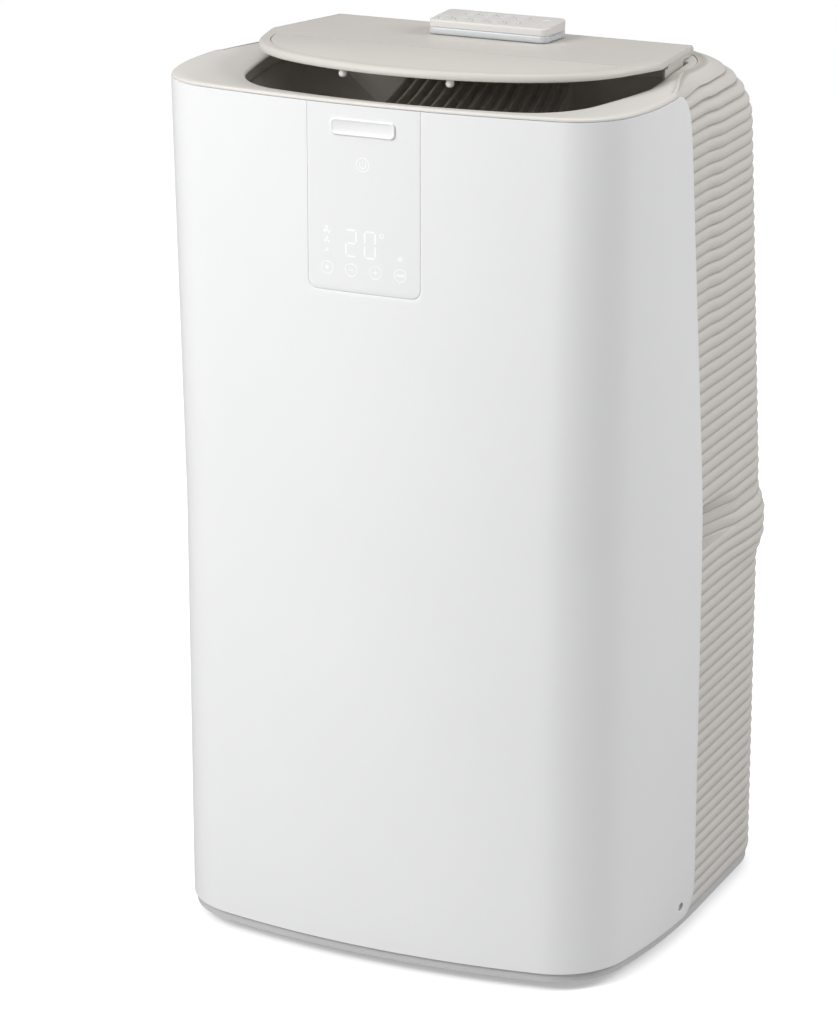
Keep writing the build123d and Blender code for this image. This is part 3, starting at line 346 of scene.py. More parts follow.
plastic("painted_steel", (0.03, 0.03, 0.03), 0.35, 500, 0.05, 0.15, coat=0.3)
metal("copper", (0.75, 0.38, 0.23), 0.33)
metal("fin_aluminium", (0.72, 0.73, 0.75), 0.38, stretch=(60, 1, 1))
plastic("box_plastic", (0.25, 0.25, 0.25), 0.5)
plastic("circuit_board", (0.02, 0.13, 0.05), 0.4, 300, 0.2, 0.3, cloud=90)
plastic("caster_tread", (0.13, 0.13, 0.13), 0.6, 500, 0.1, 0.12)
plastic("caster_plastic", (0.09, 0.09, 0.09), 0.5, 700, 0.06, 0.1)
looks["nameplate_white"] = looks["shell_white"]
for entry in frame["record"]["subparts"]:
    cad_mesh = frame["nodes"][entry["node"]].data
    cad_mesh.materials.clear()
    cad_mesh.materials.append(looks[entry["material_slot"]])


# ---- White front shell with its flush display panel ----
SHELL_COLUMNS, SHELL_STEP = 110, 9.0
PANEL_GAP, PANEL_CUT = 0.35, (-230, -150)
SCREW_Y, SCREW_Z, SCREW_R = -33.0, 30.0, 3.5


def skin(name, rows):
    """Skin through rows of points, with a wall inside."""
    obj = new_object(name, np.concatenate(rows), grid_faces(len(rows), len(rows[0])))
    modify(obj, "SOLIDIFY", thickness=WALL * MM, offset=-1, use_even_offset=True)
    return bake(obj)


def both_sides(half):
    """A row from the front centre round one side, with its mirror image before it."""
    return np.concatenate([half[::-1] * [-1, 1, 1], half[1:]])


def round_the_back(half):
    """A row from one side round to the rear centre, with its mirror image after it."""
    return np.concatenate([half, half[::-1][1:] * [-1, 1, 1]])


def shell_heights():
    """Heights up the shell, closer together where its corners are rounded."""
    lower = SHELL_BOTTOM + SPLIT_LOW_R * (1 - np.cos(np.linspace(0, math.pi / 2, 10)))
    upper = SHELL_TOP - SPLIT_HIGH_R * (1 - np.cos(np.linspace(math.pi / 2, 0, 10)))
    middle = np.linspace(lower[-1], upper[0], int((upper[0] - lower[-1]) / SHELL_STEP))[1:-1]
    return np.concatenate([lower, middle, upper])


def polar(cx, cz, radius, angle):
    return cx + radius * math.cos(angle), cz + radius * math.sin(angle)


def around(place, x, y):
    """The placing function place with its origin moved to x, y."""
    return lambda a, b, h: place(x + a, y + b, h)


def prism(name, outline, low, high, place=lambda a, b, h: (a, h, b)):
    """Closed prism over an outline; place turns (across, up, depth) into a point."""
    count = len(outline)
    verts = [place(a, b, low) for a, b in outline] + [place(a, b, high) for a, b in outline]
    faces = [list(range(count)), list(range(2 * count - 1, count - 1, -1))]
    faces += [(i + count, (i + 1) % count + count, (i + 1) % count, i) for i in range(count)]
    return fix_normals(new_object(name, verts, faces))


def stack(name, loops):
    """Closed body through loops of equal length, from bottom to top."""
    columns = len(loops[0])
    faces = grid_faces(len(loops), columns, closed=True)
    last = (len(loops) - 1) * columns
    faces += [list(range(columns - 1, -1, -1)), list(range(last, last + columns))]
    return fix_normals(new_object(name, np.concatenate([np.asarray(loop, float) for loop in loops]), faces))


def lathe(name, profile, place, steps=64):
    """Body turned from a profile of (radius, height); place turns (x, y, height) into a point."""
    angles = np.linspace(0, 2 * math.pi, steps + 1)[:-1]
    verts, faces, previous = [], [], None
    for radius, height in profile:
        if radius < 1e-6:
            ring = [len(verts)]
            verts.append(place(0, 0, height))
        else:
            ring = list(range(len(verts), len(verts) + steps))
            verts += [place(*polar(0, 0, radius, a), height) for a in angles]
        if previous is not None:
            for i in range(steps):
                j = (i + 1) % steps
                corners = [previous[i % len(previous)], previous[j % len(previous)], ring[j % len(ring)],
                           ring[i % len(ring)]]
                faces.append(list(dict.fromkeys(corners)))
        previous = ring
    return fix_normals(new_object(name, verts, faces))


def ring_body(name, profile, place, steps=64):
    """Closed ring turned from a closed profile of (radius, height)."""
    return lathe(name, list(profile) + [profile[0]], place, steps)


def fix_normals(obj, weld=None):
    """Turn all faces outwards, after joining points no more than weld apart."""
    mesh = bmesh.new()
    mesh.from_mesh(obj.data)
    if weld:
        bmesh.ops.remove_doubles(mesh, verts=mesh.verts, dist=weld * MM)
    bmesh.ops.recalc_face_normals(mesh, faces=mesh.faces)
    mesh.to_mesh(obj.data)
    mesh.free()
    return obj


def soften(obj, width, segments=2, angle=40):
    modify(obj, "BEVEL", width=width * MM, segments=segments, limit_method="ANGLE",
           angle_limit=math.radians(angle), harden_normals=False)
    return bake(obj)


def rounded_rectangle(x_low, x_high, z_low, z_high, radius, steps=8):
    """Corner-rounded outline, anticlockwise."""
    left, right, low, high = x_low + radius, x_high - radius, z_low + radius, z_high - radius
    return [polar(cx, cz, radius, a)
            for cx, cz, start in ((right, low, -90), (right, high, 0), (left, high, 90), (left, low, 180))
            for a in np.radians(start + np.linspace(0, 90, steps + 1))]


def panel_outline(grow):
    half = PANEL_WIDTH / 2 + grow
    return rounded_rectangle(PANEL_X - half, PANEL_X + half, PANEL_LOW - grow, SHELL_TOP + 30, PANEL_R + grow)


def at_height(plan, z):
    """Points of a plan outline at height z, or each at its own height."""
    return np.column_stack([plan, np.full(len(plan), z)])


def shell_row(z):
    """Right half of one row of the shell, from the front centre to its rear edge."""
    outline = half_outline(z)
    late, edge = crossing(outline, split_y(z))
    return at_height(along(np.concatenate([outline[:late], [edge]]), np.linspace(0, 1, SHELL_COLUMNS)), z)


def make_front():
    whole = skin("front_skin", [both_sides(shell_row(z)) for z in shell_heights()])
    panel = whole.copy()
    panel.data = whole.data.copy()
    panel.name = "display_panel_skin"
    scene.collection.objects.link(panel)
    cut(whole, prism("panel_hole", panel_outline(PANEL_GAP), *PANEL_CUT))
    cut(panel, prism("panel_block", panel_outline(0), *PANEL_CUT), "INTERSECT")
    for side in (-1, 1):
        # a slot of two half circles, their centres 2 mm apart
        slot = [polar(SCREW_Y + math.copysign(1, math.cos(a)), SCREW_Z, SCREW_R, a)
                for a in np.linspace(0, 2 * math.pi, 33)[:-1]]
        cut(whole, prism("screw_recess", slot, side * 214, side * 226, lambda y, z, x: (x, y, z)))
    for obj in (whole, panel):
        soften(obj, 0.5, angle=50)
    finish_piece(whole, "root", "shell_white", "front_shell")
    finish_piece(panel, "root", "display_white", "display_panel")


def front_place(x, z, depth):
    """Point on the curved front face, or depth outwards from it."""
    lean = lean_at(z)
    end_x, drop = mix(*FRONT_END_X, lean), HALF_DEPTH - mix(*FRONT_END_Y, lean)
    radius = (end_x ** 2 + drop ** 2) / (2 * drop)
    return x, -HALF_DEPTH + radius - math.sqrt(radius ** 2 - x * x) - depth, z


def make_nameplate():
    """Plain blank badge with a soft raised rim."""
    half_width, half_height, radius = 29.0, 7.0, 4.5
    profile = [(0.0, -1.5), (0.0, 0.7), (0.25, 1.15), (0.8, 1.4), (1.6, 1.35), (2.1, 1.0), (2.4, 0.85)]
    loops = []
    for shrink, depth in profile:
        half_x, half_z = half_width - shrink, half_height - shrink
        outline = rounded_rectangle(PANEL_X - half_x, PANEL_X + half_x, NAMEPLATE_Z - half_z,
                                    NAMEPLATE_Z + half_z, max(radius - shrink * 0.6, 0.8))
        loops.append([front_place(x, z, depth) for x, z in outline])
    finish_piece(stack("badge", loops), "root", "nameplate_white", "nameplate", angle=50)


def ring_outline(cx, cz, radius, width, steps=40, start=0.0, end=360.0):
    """Band between two circles, from start to end in degrees, as the outlines of its quads."""
    angles = np.radians(np.linspace(start, end, steps + 1))
    inner = radius - width
    return [[polar(cx, cz, r, t) for r, t in ((radius, a), (radius, b), (inner, b), (inner, a))]
            for a, b in zip(angles[:-1], angles[1:])]


def stroke(x0, z0, x1, z1, width):
    """Pointed bar, like one segment of a digit."""
    along_x, along_z = x1 - x0, z1 - z0
    length = math.hypot(along_x, along_z)
    ux, uz = along_x / length, along_z / length
    half = width / 2
    nx, nz = -uz * half, ux * half
    return [(x0, z0), (x0 + ux * half + nx, z0 + uz * half + nz), (x1 - ux * half + nx, z1 - uz * half + nz),
            (x1, z1), (x1 - ux * half - nx, z1 - uz * half - nz), (x0 + ux * half - nx, z0 + uz * half - nz)]


def digit(x, z, width, height, segments):
    """Seven-segment digit with its lower left corner at x, z; segments named a to g."""
    top, middle, right = z + height, z + height / 2, x + width
    ends = {"a": (x, top, right, top), "b": (right, top, right, middle), "c": (right, middle, right, z),
            "d": (x, z, right, z), "e": (x, middle, x, z), "f": (x, top, x, middle),
            "g": (x, middle, right, middle)}
    shapes, gap, thick = [], 0.6, 1.7
    for name in segments:
        x0, z0, x1, z1 = ends[name]
        length = math.hypot(x1 - x0, z1 - z0)
        ux, uz = (x1 - x0) / length * gap, (z1 - z0) / length * gap
        shapes.append(stroke(x0 + ux, z0 + uz, x1 - ux, z1 - uz, thick))
    return shapes


def disc(cx, cz, radius, steps=24):
    return [polar(cx, cz, radius, a) for a in np.linspace(0, 2 * math.pi, steps + 1)[:-1]]


def make_symbols():
    """Printed marks of the display: power ring, fan levels, temperature, snowflake and four ringed keys."""
    power_z, key_z, digit_z, digit_height = 706.0, 617.5, 629.0, 22.0
    shapes = ring_outline(PANEL_X, power_z, 6.0, 0.8) + ring_outline(PANEL_X, power_z, 3.2, 0.8, 12, 138, 402)
    shapes.append(stroke(PANEL_X, power_z + 0.4, PANEL_X, power_z + 3.4, 1.0))
    fan_x = PANEL_X - 33
    for level, size in enumerate((2.2, 3.0, 3.8)):
        z = digit_z + 3 + 8.5 * level
        shapes.append(disc(fan_x, z, size * 0.28, 12))
        for blade in np.radians((90, 210, 330)):
            shapes.append([polar(fan_x, z, size * r, blade + t)
                           for r, t in ((0.35, -0.9), (1, -0.45), (1, 0.35), (0.4, 0.5))])
    shapes += digit(PANEL_X - 15.5, digit_z, 9.5, digit_height, "abged")
    shapes += digit(PANEL_X + 1.5, digit_z, 9.5, digit_height, "abcdef")
    shapes += ring_outline(PANEL_X + 16.5, digit_z + digit_height - 2.2, 2.2, 0.9, 20)
    flake = PANEL_X + 33, digit_z + 2.2
    shapes += [stroke(*polar(*flake, -3, a), *polar(*flake, 3, a), 0.9) for a in np.radians((30, 90, 150))]
    light_x, minus_x, plus_x, fan_key_x = (PANEL_X + x for x in (-33, -11, 11, 33))
    for x in (light_x, minus_x, plus_x, fan_key_x):
        shapes += ring_outline(x, key_z, 5.7, 0.8)
    shapes.append(disc(light_x, key_z, 1.7))
    shapes += [stroke(x - 2.3, key_z, x + 2.3, key_z, 0.9) for x in (minus_x, plus_x)]
    shapes.append(stroke(plus_x, key_z - 2.3, plus_x, key_z + 2.3, 0.9))
    shapes += [stroke(fan_key_x - 4, key_z + dz, fan_key_x + 4, key_z + dz, 0.9) for dz in (-0.7, 0.7)]
    marks = [prism("mark", outline, -0.4, 0.12, front_place) for outline in shapes]
    finish_piece(join("display_symbols", *marks), "root", "display_white", look="symbol_white")


# ---- Ribbed rear housing ----
RIB_DEPTH, RIB_TOP_COUNT = 2.3, 68
RIM_R = 2.2
RIB_PHASES = (0.0, 0.07, 0.24, 0.5, 0.76, 0.93)
HOUSING_FRONT_TOP = SPLIT_TOP_Y - SPLIT_HIGH_R
ROOF_FRONT_Y = 94.0
SIDE_COLUMNS = 44
COVER_RIM, HALF_SLOT = 11.0, 2.0
REAR_STOPS = np.array([135.0, 130.0, 118.0, 96.0, 64.0, 32.0, 5.0, 0.0])


def groove(count):
    """Height of a groove between ribs, counted from the bottom."""
    return SHELL_BOTTOM + RIB_PITCH * count


def rib_inset(phase):
    return RIB_DEPTH * abs(2 * phase - 1) ** 2.4


def side_recess(y, z):
    """How far the flank stands in: the grip's scoop and the shallow step beside the shell."""
    scoop = 1 - smooth(z, GRIP_BACK_TOP, GRIP_TOP) if z >= GRIP_FLOOR else 0.0
    wedge = GRIP_DEPTH * np.clip(1 - (y - SPLIT_Y) / (GRIP_REAR_Y - SPLIT_Y), 0, 1)
    step = 4.0 * float(smooth(z, 450, 600)) * (1 - smooth(y, 14, 42))
    return wedge * scoop + step


def housing_row(z, inset):
    """Right half of one row of the housing, from the shell's edge round to the rear centre."""
    soft = float(smooth(z, GRIP_FLOOR - 0.2, GRIP_FLOOR) * (1 - smooth(z, GRIP_TOP - 6, GRIP_TOP + 8)))
    start_y = (split_y(z) if z < SHELL_TOP else HOUSING_FRONT_TOP) + SEAM
    sides = []
    for outline in (half_outline(z), half_outline(z, inset)):
        late, start = crossing(outline, start_y)
        side = np.concatenate([[start], outline[late:-REAR_POINTS]])
        sides.append(along(side, np.linspace(0, 1, SIDE_COLUMNS) ** 1.12))
    plain, grooved = sides
    # ribs fade to fine lines on the scoop and vanish on its back wall
    fade = soft * np.clip(1 - (plain[:, 1] - SPLIT_Y) / (GRIP_REAR_Y - SPLIT_Y), 0, 1) ** 0.5
    keep = 1 - fade * (0.75 if z > GRIP_BACK_TOP else 1.0)
    side = plain + (grooved - plain) * keep[:, None]
    side[:, 0] -= side_recess(side[:, 1], z)
    corner_x, rear_y = side[-1]
    rear = np.column_stack([REAR_STOPS * min(1, corner_x / 135.3), np.full(len(REAR_STOPS), rear_y)])
    return at_height(np.concatenate([side, rear]), z)


def housing_heights():
    """Heights and insets of all rows."""
    rows = []
    for rib in range(RIB_TOP_COUNT):
        for phase in RIB_PHASES:
            z = groove(rib) + phase * RIB_PITCH
            rows.append((z, rib_inset(phase) * (1 + 1.2 * float(smooth(z, SHOULDER_START, BODY_TOP)))))
    last = groove(RIB_TOP_COUNT)
    rows.append((last, RIB_DEPTH * 2.0))
    rows += [(mix(last, BODY_TOP, share), lift) for share, lift in ((0.08, 1.3), (0.25, 0.35), (0.5, 0.0))]
    rows += [(BODY_TOP - RIM_R * (1 - math.sin(a)), RIM_R * (1 - math.cos(a)))
             for a in np.radians((0, 25, 50, 70, 89.9))]
    rows += [(GRIP_FLOOR - 0.3, rib_inset(((GRIP_FLOOR - SHELL_BOTTOM) / RIB_PITCH) % 1)),
             (GRIP_FLOOR + 0.1, 0.5), (GRIP_BACK_TOP, 0.5)]
    return sorted(rows)


def in_window(x, y, z):
    """Whether a point of the back lies in one of the intake windows."""
    return y > 150 and any(x_low < x < x_high and groove(first) < z < groove(last)
                           for x_low, x_high, first, last in (UPPER_WINDOW, LOWER_WINDOW))


def y_place(cx, cz, rear_y=HALF_DEPTH):
    """Placing function for round things on a Y axis; height counts outwards from rear_y."""
    return lambda x, z, h: (cx + x, rear_y + h, cz + z)


def make_housing():
    rows = [round_the_back(housing_row(z, inset)) for z, inset in housing_heights()]
    top = rows[-1]
    rim = top.copy()
    centre = np.array([0.0, -40.0])
    for i, (x, y, z) in enumerate(top):
        inward = centre - (x, y)
        inward /= np.linalg.norm(inward)
        rim[i, :2] = (x, y) + inward * 0.7 if y < ROOF_FRONT_Y + 0.7 else (x * 0.985, ROOF_FRONT_Y)
    rows.append(rim)
    verts = np.concatenate(rows)
    faces = [face for face in grid_faces(len(rows), len(rows[0]))
             if not in_window(*verts[list(face)].mean(axis=0))]
    housing = new_object("ribbed_housing", verts, faces)
    modify(housing, "SOLIDIFY", thickness=2.4 * MM, offset=-1, use_even_offset=False)
    bake(housing)
    holes = [((COLLAR_X, COLLAR_Z), COLLAR_BORE_R + 3.5), (UPPER_DRAIN, 9.5), (LOWER_DRAIN, 9.5),
             (CABLE_PLACE, 9.4)]
    drills = [lathe("drill", [(0, -60), (r, -60), (r, 20), (0, 20)], y_place(*place)) for place, r in holes]
    cut(housing, join("drills", *drills))
    pads = []
    for place, bore in holes:
        wide = bore + (10 if bore > 20 else 4)
        profile = [(bore, -4.0), (bore, 0.4), (bore + 0.5, 0.9), (wide - 1.5, 0.9), (wide - 0.4, 0.5),
                   (wide, -0.3), (wide, -4.0)]
        pads.append(ring_body("pad", profile, y_place(*place)))
    housing = join("rear_housing_ribbed", housing, *pads)
    finish_piece(housing, "root", "rib_greige", "rear_housing", angle=38)


def make_intake(window, body, node):
    """Intake cover: slats that carry the housing's ribs on across its window, open in every groove."""
    x_low, x_high, first, last = window
    left, right, low, high = x_low + COVER_RIM, x_high - COVER_RIM, groove(first + 1), groove(last - 1)
    stops = [x_low + SEAM, *np.linspace(left, right, 6), x_high - SEAM]
    levels = [(groove(rib) + phase * RIB_PITCH, rib_inset(phase))
              for rib in range(first, last) for phase in (0.0, 0.19, 0.3, 0.5, 0.7, 0.81)]
    levels.append((groove(last) - SEAM, rib_inset(0.04)))
    levels[0] = (groove(first) + SEAM, rib_inset(0.04))
    rows = [[(x, half_outline(z, inset)[-1][1], z) for x in stops] for z, inset in levels]
    verts = np.concatenate([np.array(row) for row in rows])
    faces = []
    for face in grid_faces(len(rows), len(stops)):
        x, y, z = verts[list(face)].mean(axis=0)
        rib_share = ((z - SHELL_BOTTOM) / RIB_PITCH) % 1
        near_groove = min(rib_share, 1 - rib_share) * RIB_PITCH < HALF_SLOT
        if not (near_groove and left < x < right and low - 3 < z < high + 3):
            faces.append(face)
    cover = new_object(node + "_slats", verts, faces)
    modify(cover, "SOLIDIFY", thickness=3 * MM, offset=1, use_even_offset=False)
    bake(cover)
    ends = [(z, half_outline(z, RIB_DEPTH + 1.2)[-1][1]) for z in (low, high)]
    section = [(-1.5, 0), (1.5, 0), (1.5, -2.5), (-1.5, -2.5)]
    stiles = [stack("stile", [[(x + dx, y + dy, z) for dx, dy in section] for z, y in ends])
              for x in np.linspace(left, right, 4)[1:-1]]
    finish_piece(join(node + "_slats", cover, *stiles), body, "rib_greige", node, angle=38)


# ---- Top ring ----
def mouth_half(grow):
    """Right half of the air outlet's outline, from front centre to rear centre, grown by grow."""
    first = np.array([[0, MOUTH_FRONT_Y - grow]])
    front_end = (103 + 0.2 * grow, -156 - grow)
    turn_end = (158 + 0.8 * grow, -105 - 0.6 * grow)
    side, rear = MOUTH_HALF_WIDTH + grow, MOUTH_REAR_Y + grow
    side_end = (side, -30)
    front, heading = arc_points(first[0], front_end, (1, 0), 16)
    turn, heading = arc_points(front_end, turn_end, heading, 12)
    flat = arc_points(turn_end, side_end, heading, 8)[0]
    return np.concatenate([first, front, turn, flat, line_points(side_end, (side, rear), 4),
                           line_points((side, rear), (0, rear), 10)])


def ray_hits(half, angles, centre):
    """Where rays from centre meet the closed outline made of half and its mirror image."""
    loop = np.concatenate([half, half[::-1][1:-1] * [-1, 1]]) - centre
    hits = []
    for a in angles:
        ux, uy = math.cos(a), math.sin(a)
        best = None
        for p, q in zip(loop, np.roll(loop, -1, axis=0)):
            cross_p, cross_q = ux * p[1] - uy * p[0], ux * q[1] - uy * q[0]
            if cross_p * cross_q > 0 or cross_p == cross_q:
                continue
            point = p + (q - p) * cross_p / (cross_p - cross_q)
            reach = point @ (ux, uy)
            if reach > 0 and (best is None or reach > best):
                best = reach
        hits.append(centre + np.array([ux, uy]) * best)
    return np.array(hits)


RING_LOW = 741.0
RING_REAR_Y = ROOF_FRONT_Y - 0.6
MOUTH_CENTRE = np.array([0.0, -50.0])
BOSS_STARTS = (HINGE_X - 13, HINGE_X + 5.6)


def hinge_place(side, start):
    """Placing function for round things on the flap's hinge axis; height counts outwards from start."""
    return lambda x, y, h: (side * (start + h), HINGE_Y + x, HINGE_Z + y)


def make_ring():
    angles = np.linspace(-math.pi / 2, 1.5 * math.pi, 241)[:-1]

    def body_outline(inset):
        half = half_outline(BODY_TOP - 0.01, inset)
        late, corner = crossing(half, RING_REAR_Y)
        return np.concatenate([half[:late], line_points(corner, (0, RING_REAR_Y), 12)])

    over_shell = ray_hits(body_outline(0.5), angles, MOUTH_CENTRE)
    inside = ray_hits(body_outline(3.1), angles, MOUTH_CENTRE)
    cap = over_shell[:, 1] < HOUSING_FRONT_TOP - 1
    mouth = ray_hits(mouth_half(0), angles, MOUTH_CENTRE)
    edge = np.where(cap[:, None], over_shell, inside)
    mouth_z = mix(750.8, 756.6, smooth(mouth[:, 1], -40, MOUTH_REAR_Y))
    out = mouth - edge
    width = np.linalg.norm(out, axis=1)[:, None]
    loops = [(inside, RING_LOW), (inside, np.where(cap, SHELL_TOP + 0.5, 748.0)),
             (edge, np.where(cap, SHELL_TOP + 0.5, 750.0)), (edge, BODY_TOP - 1.4),
             (edge + out * (0.5 / width), BODY_TOP - 0.5), (edge + out * (1.6 / width), BODY_TOP)]
    loops += [(edge + out * share, BODY_TOP + (mouth_z - BODY_TOP) * share ** 1.25)
              for share in (0.2, 0.4, 0.6, 0.8, 0.94)]
    loops += [(mouth - out / width * 0.7, mouth_z - 0.15), (mouth, mouth_z - 1.0), (mouth, RING_LOW),
              (inside, RING_LOW)]
    rows = [at_height(plan, z) for plan, z in loops]
    ring = new_object("ring", np.concatenate(rows), grid_faces(len(rows), len(angles), closed=True))
    fix_normals(ring, weld=0.001)
    well = [(-150, 70), (150, 70), (150, 100), (-150, 100)]
    cut(ring, prism("hinge_well", well, 742, 770, lambda x, y, h: (x, y, h)))
    profile = [(3.0, 0), (3.0, 7), (6.2, 7), (7.0, 6.3), (7.0, 0.7), (6.2, 0)]
    bosses = [ring_body("boss", profile, hinge_place(side, start), 40)
              for side in (-1, 1) for start in BOSS_STARTS]
    finish_piece(join("top_ring_band", ring, *bosses), "root", "trim_greige", "top_ring", angle=38)


# ---- Outlet duct and its fanned louvre bars ----
DUCT_LOW, DUCT_BACK = 642.0, np.array([0.0, 53.0])
LOUVRE_COUNT, LOUVRE_PITCH, LOUVRE_FAN = 15, 11.0, (0.94, 1.1)
LOUVRE_LINE = [(54, 737), (40, 728.5), (25, 721), (10, 715), (-8, 709.5), (-30, 705), (-52, 702.6),
               (-74, 702)]


def make_duct():
    angles = np.linspace(-math.pi / 2, 1.5 * math.pi, 97)[:-1]
    throat = [(0, 15.0), (96, 15.0), (104.5, 18.5), (108, 27), (108, 80), (104.5, 88.5), (96, 92.0),
              (0, 92.0)]
    lower = ray_hits(np.array(throat), angles, DUCT_BACK)
    upper = ray_hits(mouth_half(3), angles, MOUTH_CENTRE)
    rows = [at_height(lower + (upper - lower) * share ** 0.82, mix(DUCT_LOW, RING_LOW - 0.6, share))
            for share in np.linspace(0, 1, 13)]
    duct = new_object("duct_funnel", np.concatenate(rows), grid_faces(len(rows), len(angles), closed=True))
    fix_normals(duct)
    modify(duct, "SOLIDIFY", thickness=2.2 * MM, offset=0)
    bake(duct)
    finish_piece(duct, "root", "duct_dark", "outlet_duct")


def make_louvres():
    half_count = (LOUVRE_COUNT - 1) / 2
    profile = [(-1.1, -7), (1.1, -7), (1.2, 0), (0.7, 1.6), (0, 2.0), (-0.7, 1.6), (-1.2, 0)]
    last = len(LOUVRE_LINE) - 1
    bars = []
    for bar in range(LOUVRE_COUNT):
        loops = []
        for i, (y, z) in enumerate(LOUVRE_LINE):
            x = (bar - half_count) * LOUVRE_PITCH * mix(*LOUVRE_FAN, i / last)
            before, after = LOUVRE_LINE[max(i - 1, 0)], LOUVRE_LINE[min(i + 1, last)]
            # the profile stands on the line along its upward normal
            run, rise = before[0] - after[0], after[1] - before[1]
            length = math.hypot(run, rise)
            loops.append([(x + a, y + rise / length * b, z + run / length * b) for a, b in profile])
        bars.append(stack("bar", loops))
    for y, z, fan in ((-72, 697.5, LOUVRE_FAN[1]), (51, 731, LOUVRE_FAN[0])):
        reach = half_count * LOUVRE_PITCH * fan
        bars.append(lathe("rail", [(0, -reach), (2.4, -reach), (2.4, reach), (0, reach)],
                          lambda a, b, h: (h, y + a, z + b), 20))
    finish_piece(join("louvre_bars", *bars), "root", "duct_dark", "outlet_grille", look="louvre_dark")


# ---- Flap ----
def flap_place(x, y, height):
    """Point from the flap's own frame: y from the hinge axis, height above it."""
    cos, sin = math.cos(FLAP_TILT), math.sin(FLAP_TILT)
    return x, HINGE_Y + y * cos + height * sin, HINGE_Z - y * sin + height * cos


def flap_half(inset):
    """Right half of the flap's outline, from the nose round to the rear centre."""
    first = np.array([[0, FLAP_NOSE_Y + inset]])
    nose_end = (97 - 0.2 * inset, -226 + inset)
    turn_end = (166 - inset, -150 + 0.5 * inset)
    side_start = (FLAP_HALF_WIDTH - inset, -100.0)
    side_end = (FLAP_REAR_HALF_WIDTH - inset, FLAP_REAR_Y - inset)
    nose, heading = arc_points(first[0], nose_end, (1, 0), 20)
    turn, heading = arc_points(nose_end, turn_end, heading, 16)
    side = arc_points(turn_end, side_start, heading, 8)[0]
    return np.concatenate([first, nose, turn, side, line_points(side_start, side_end, 12),
                           line_points(side_end, (0, side_end[1]), 10)])


def flap_loop(inset, chamfer=0.0):
    """Whole outline; chamfer adds to the inset towards the rear of the sides."""
    half = flap_half(inset)
    if chamfer:
        wider = flap_half(inset + chamfer)
        share = smooth(half[:, 1], -190, -40)
        half = half + (wider - half) * share[:, None]
    return np.concatenate([half, half[::-1][1:-1] * [-1, 1]])


FLAP_TOP = FLAP_LOW + FLAP_THICK
SKIRT_FROM, SKIRT_TO, SKIRT_DEPTH, LIP_DEPTH = -75, -26, 16, 2.7
BUMPER_X, BUMPER_Y = 48, -232


def flap_edge_x(inset, y):
    """Half width of the outline at y, ahead of the sides' rear ends."""
    front = flap_half(inset)[:45]
    return np.interp(y, front[:, 1], front[:, 0])


def moon_prism(name, inset, rear_y, low, high):
    """The front of the outline, cut off straight at rear_y."""
    right = sorted([tuple(p) for p in flap_loop(inset) if p[1] < rear_y and p[0] >= 0], key=lambda p: p[1])
    left = [(-x, y) for x, y in right if x > 1e-6]
    edge_x = flap_edge_x(inset, rear_y)
    return prism(name, right + [(edge_x, rear_y), (-edge_x, rear_y)] + left[::-1], low, high, flap_place)


def make_flap():
    profile = [(9.0, 0.0, 0), (1.8, 0.0, 0), (0.5, 0.5, 0), (0.0, 1.6, 0), (0.0, 2.8, 0), (0.35, 4.4, 0),
               (1.1, 5.8, 0), (2.0, 6.6, 4), (3.0, 7.0, 6.5), (9.0, 7.0, 2.0)]
    plate = stack("flap_lid", [[flap_place(x, y, FLAP_LOW + height) for x, y in flap_loop(inset, chamfer)]
                               for inset, height, chamfer in profile])
    cut(plate, moon_prism("moon_recess", 9.3, SEAM_Y + 0.5, FLAP_TOP - 2.4, FLAP_TOP + 6))
    seam_x, front, rear = flap_edge_x(9.3, SEAM_Y), SEAM_Y - 0.5, SEAM_Y + 0.7
    cut(plate, prism("seam_slot", [(-seam_x, front), (seam_x, front), (seam_x, rear), (-seam_x, rear)],
                     FLAP_TOP - 5.2, FLAP_TOP + 6, flap_place))
    moon = moon_prism("flap_half_moon", 10.0, SEAM_Y - 0.3, FLAP_TOP - 2.3, FLAP_TOP - 0.02)
    soften(moon, 0.35, 2, 50)
    extras = []
    for side in (-1, 1):
        skirt = [(170, SKIRT_FROM), (172.5, SKIRT_FROM), (169.8, SKIRT_TO), (167.3, SKIRT_TO)]
        lip = [(168, SKIRT_FROM), (175, SKIRT_FROM), (166.5, 0), (159, 0), (163, SKIRT_TO)]
        for name, outline, depth in (("skirt", skirt, SKIRT_DEPTH), ("side_lip", lip, LIP_DEPTH)):
            outline = [(side * x, y) for x, y in outline]
            extras.append(soften(prism(name, outline, FLAP_LOW - depth, FLAP_LOW + 1, flap_place), 0.5))
        place = hinge_place(side, HINGE_X - 5)
        ear = [(3.1, 0), (3.1, 10), (4.9, 10), (5.4, 9.5), (5.4, 0.5), (4.9, 0)]
        web = [(-4.5, 4.2), (4.5, 4.2), (4.5, FLAP_LOW + 1), (-4.5, FLAP_LOW + 1)]
        extras += [ring_body("ear", ear, place, 40), prism("ear_web", web, 0.5, 9.5, place)]
    # the lid takes the darker copy of the trim greige, which is painted shade
    finish_piece(join("flap_lid", plate, *extras), "flap", "trim_greige", "flap_plate", look="lid_greige_shaded",
                 angle=30)
    finish_piece(moon, "flap", "trim_greige", "flap_inset", look="trim_greige_inset", angle=30)
    profile = [(0, -0.4), (3.2, -0.4), (3.2, 1.6), (3.6, 3.2), (3.5, 4.6), (2.9, 5.9), (1.8, 6.7), (0, 7.0)]
    bumpers = [lathe("bumper", profile, lambda a, b, h: flap_place(x + a, BUMPER_Y + b, FLAP_LOW - h), 32)
               for x in (-BUMPER_X, BUMPER_X)]
    finish_piece(join("flap_stops", *bumpers), "flap", "bumper_white", "flap_bumpers")


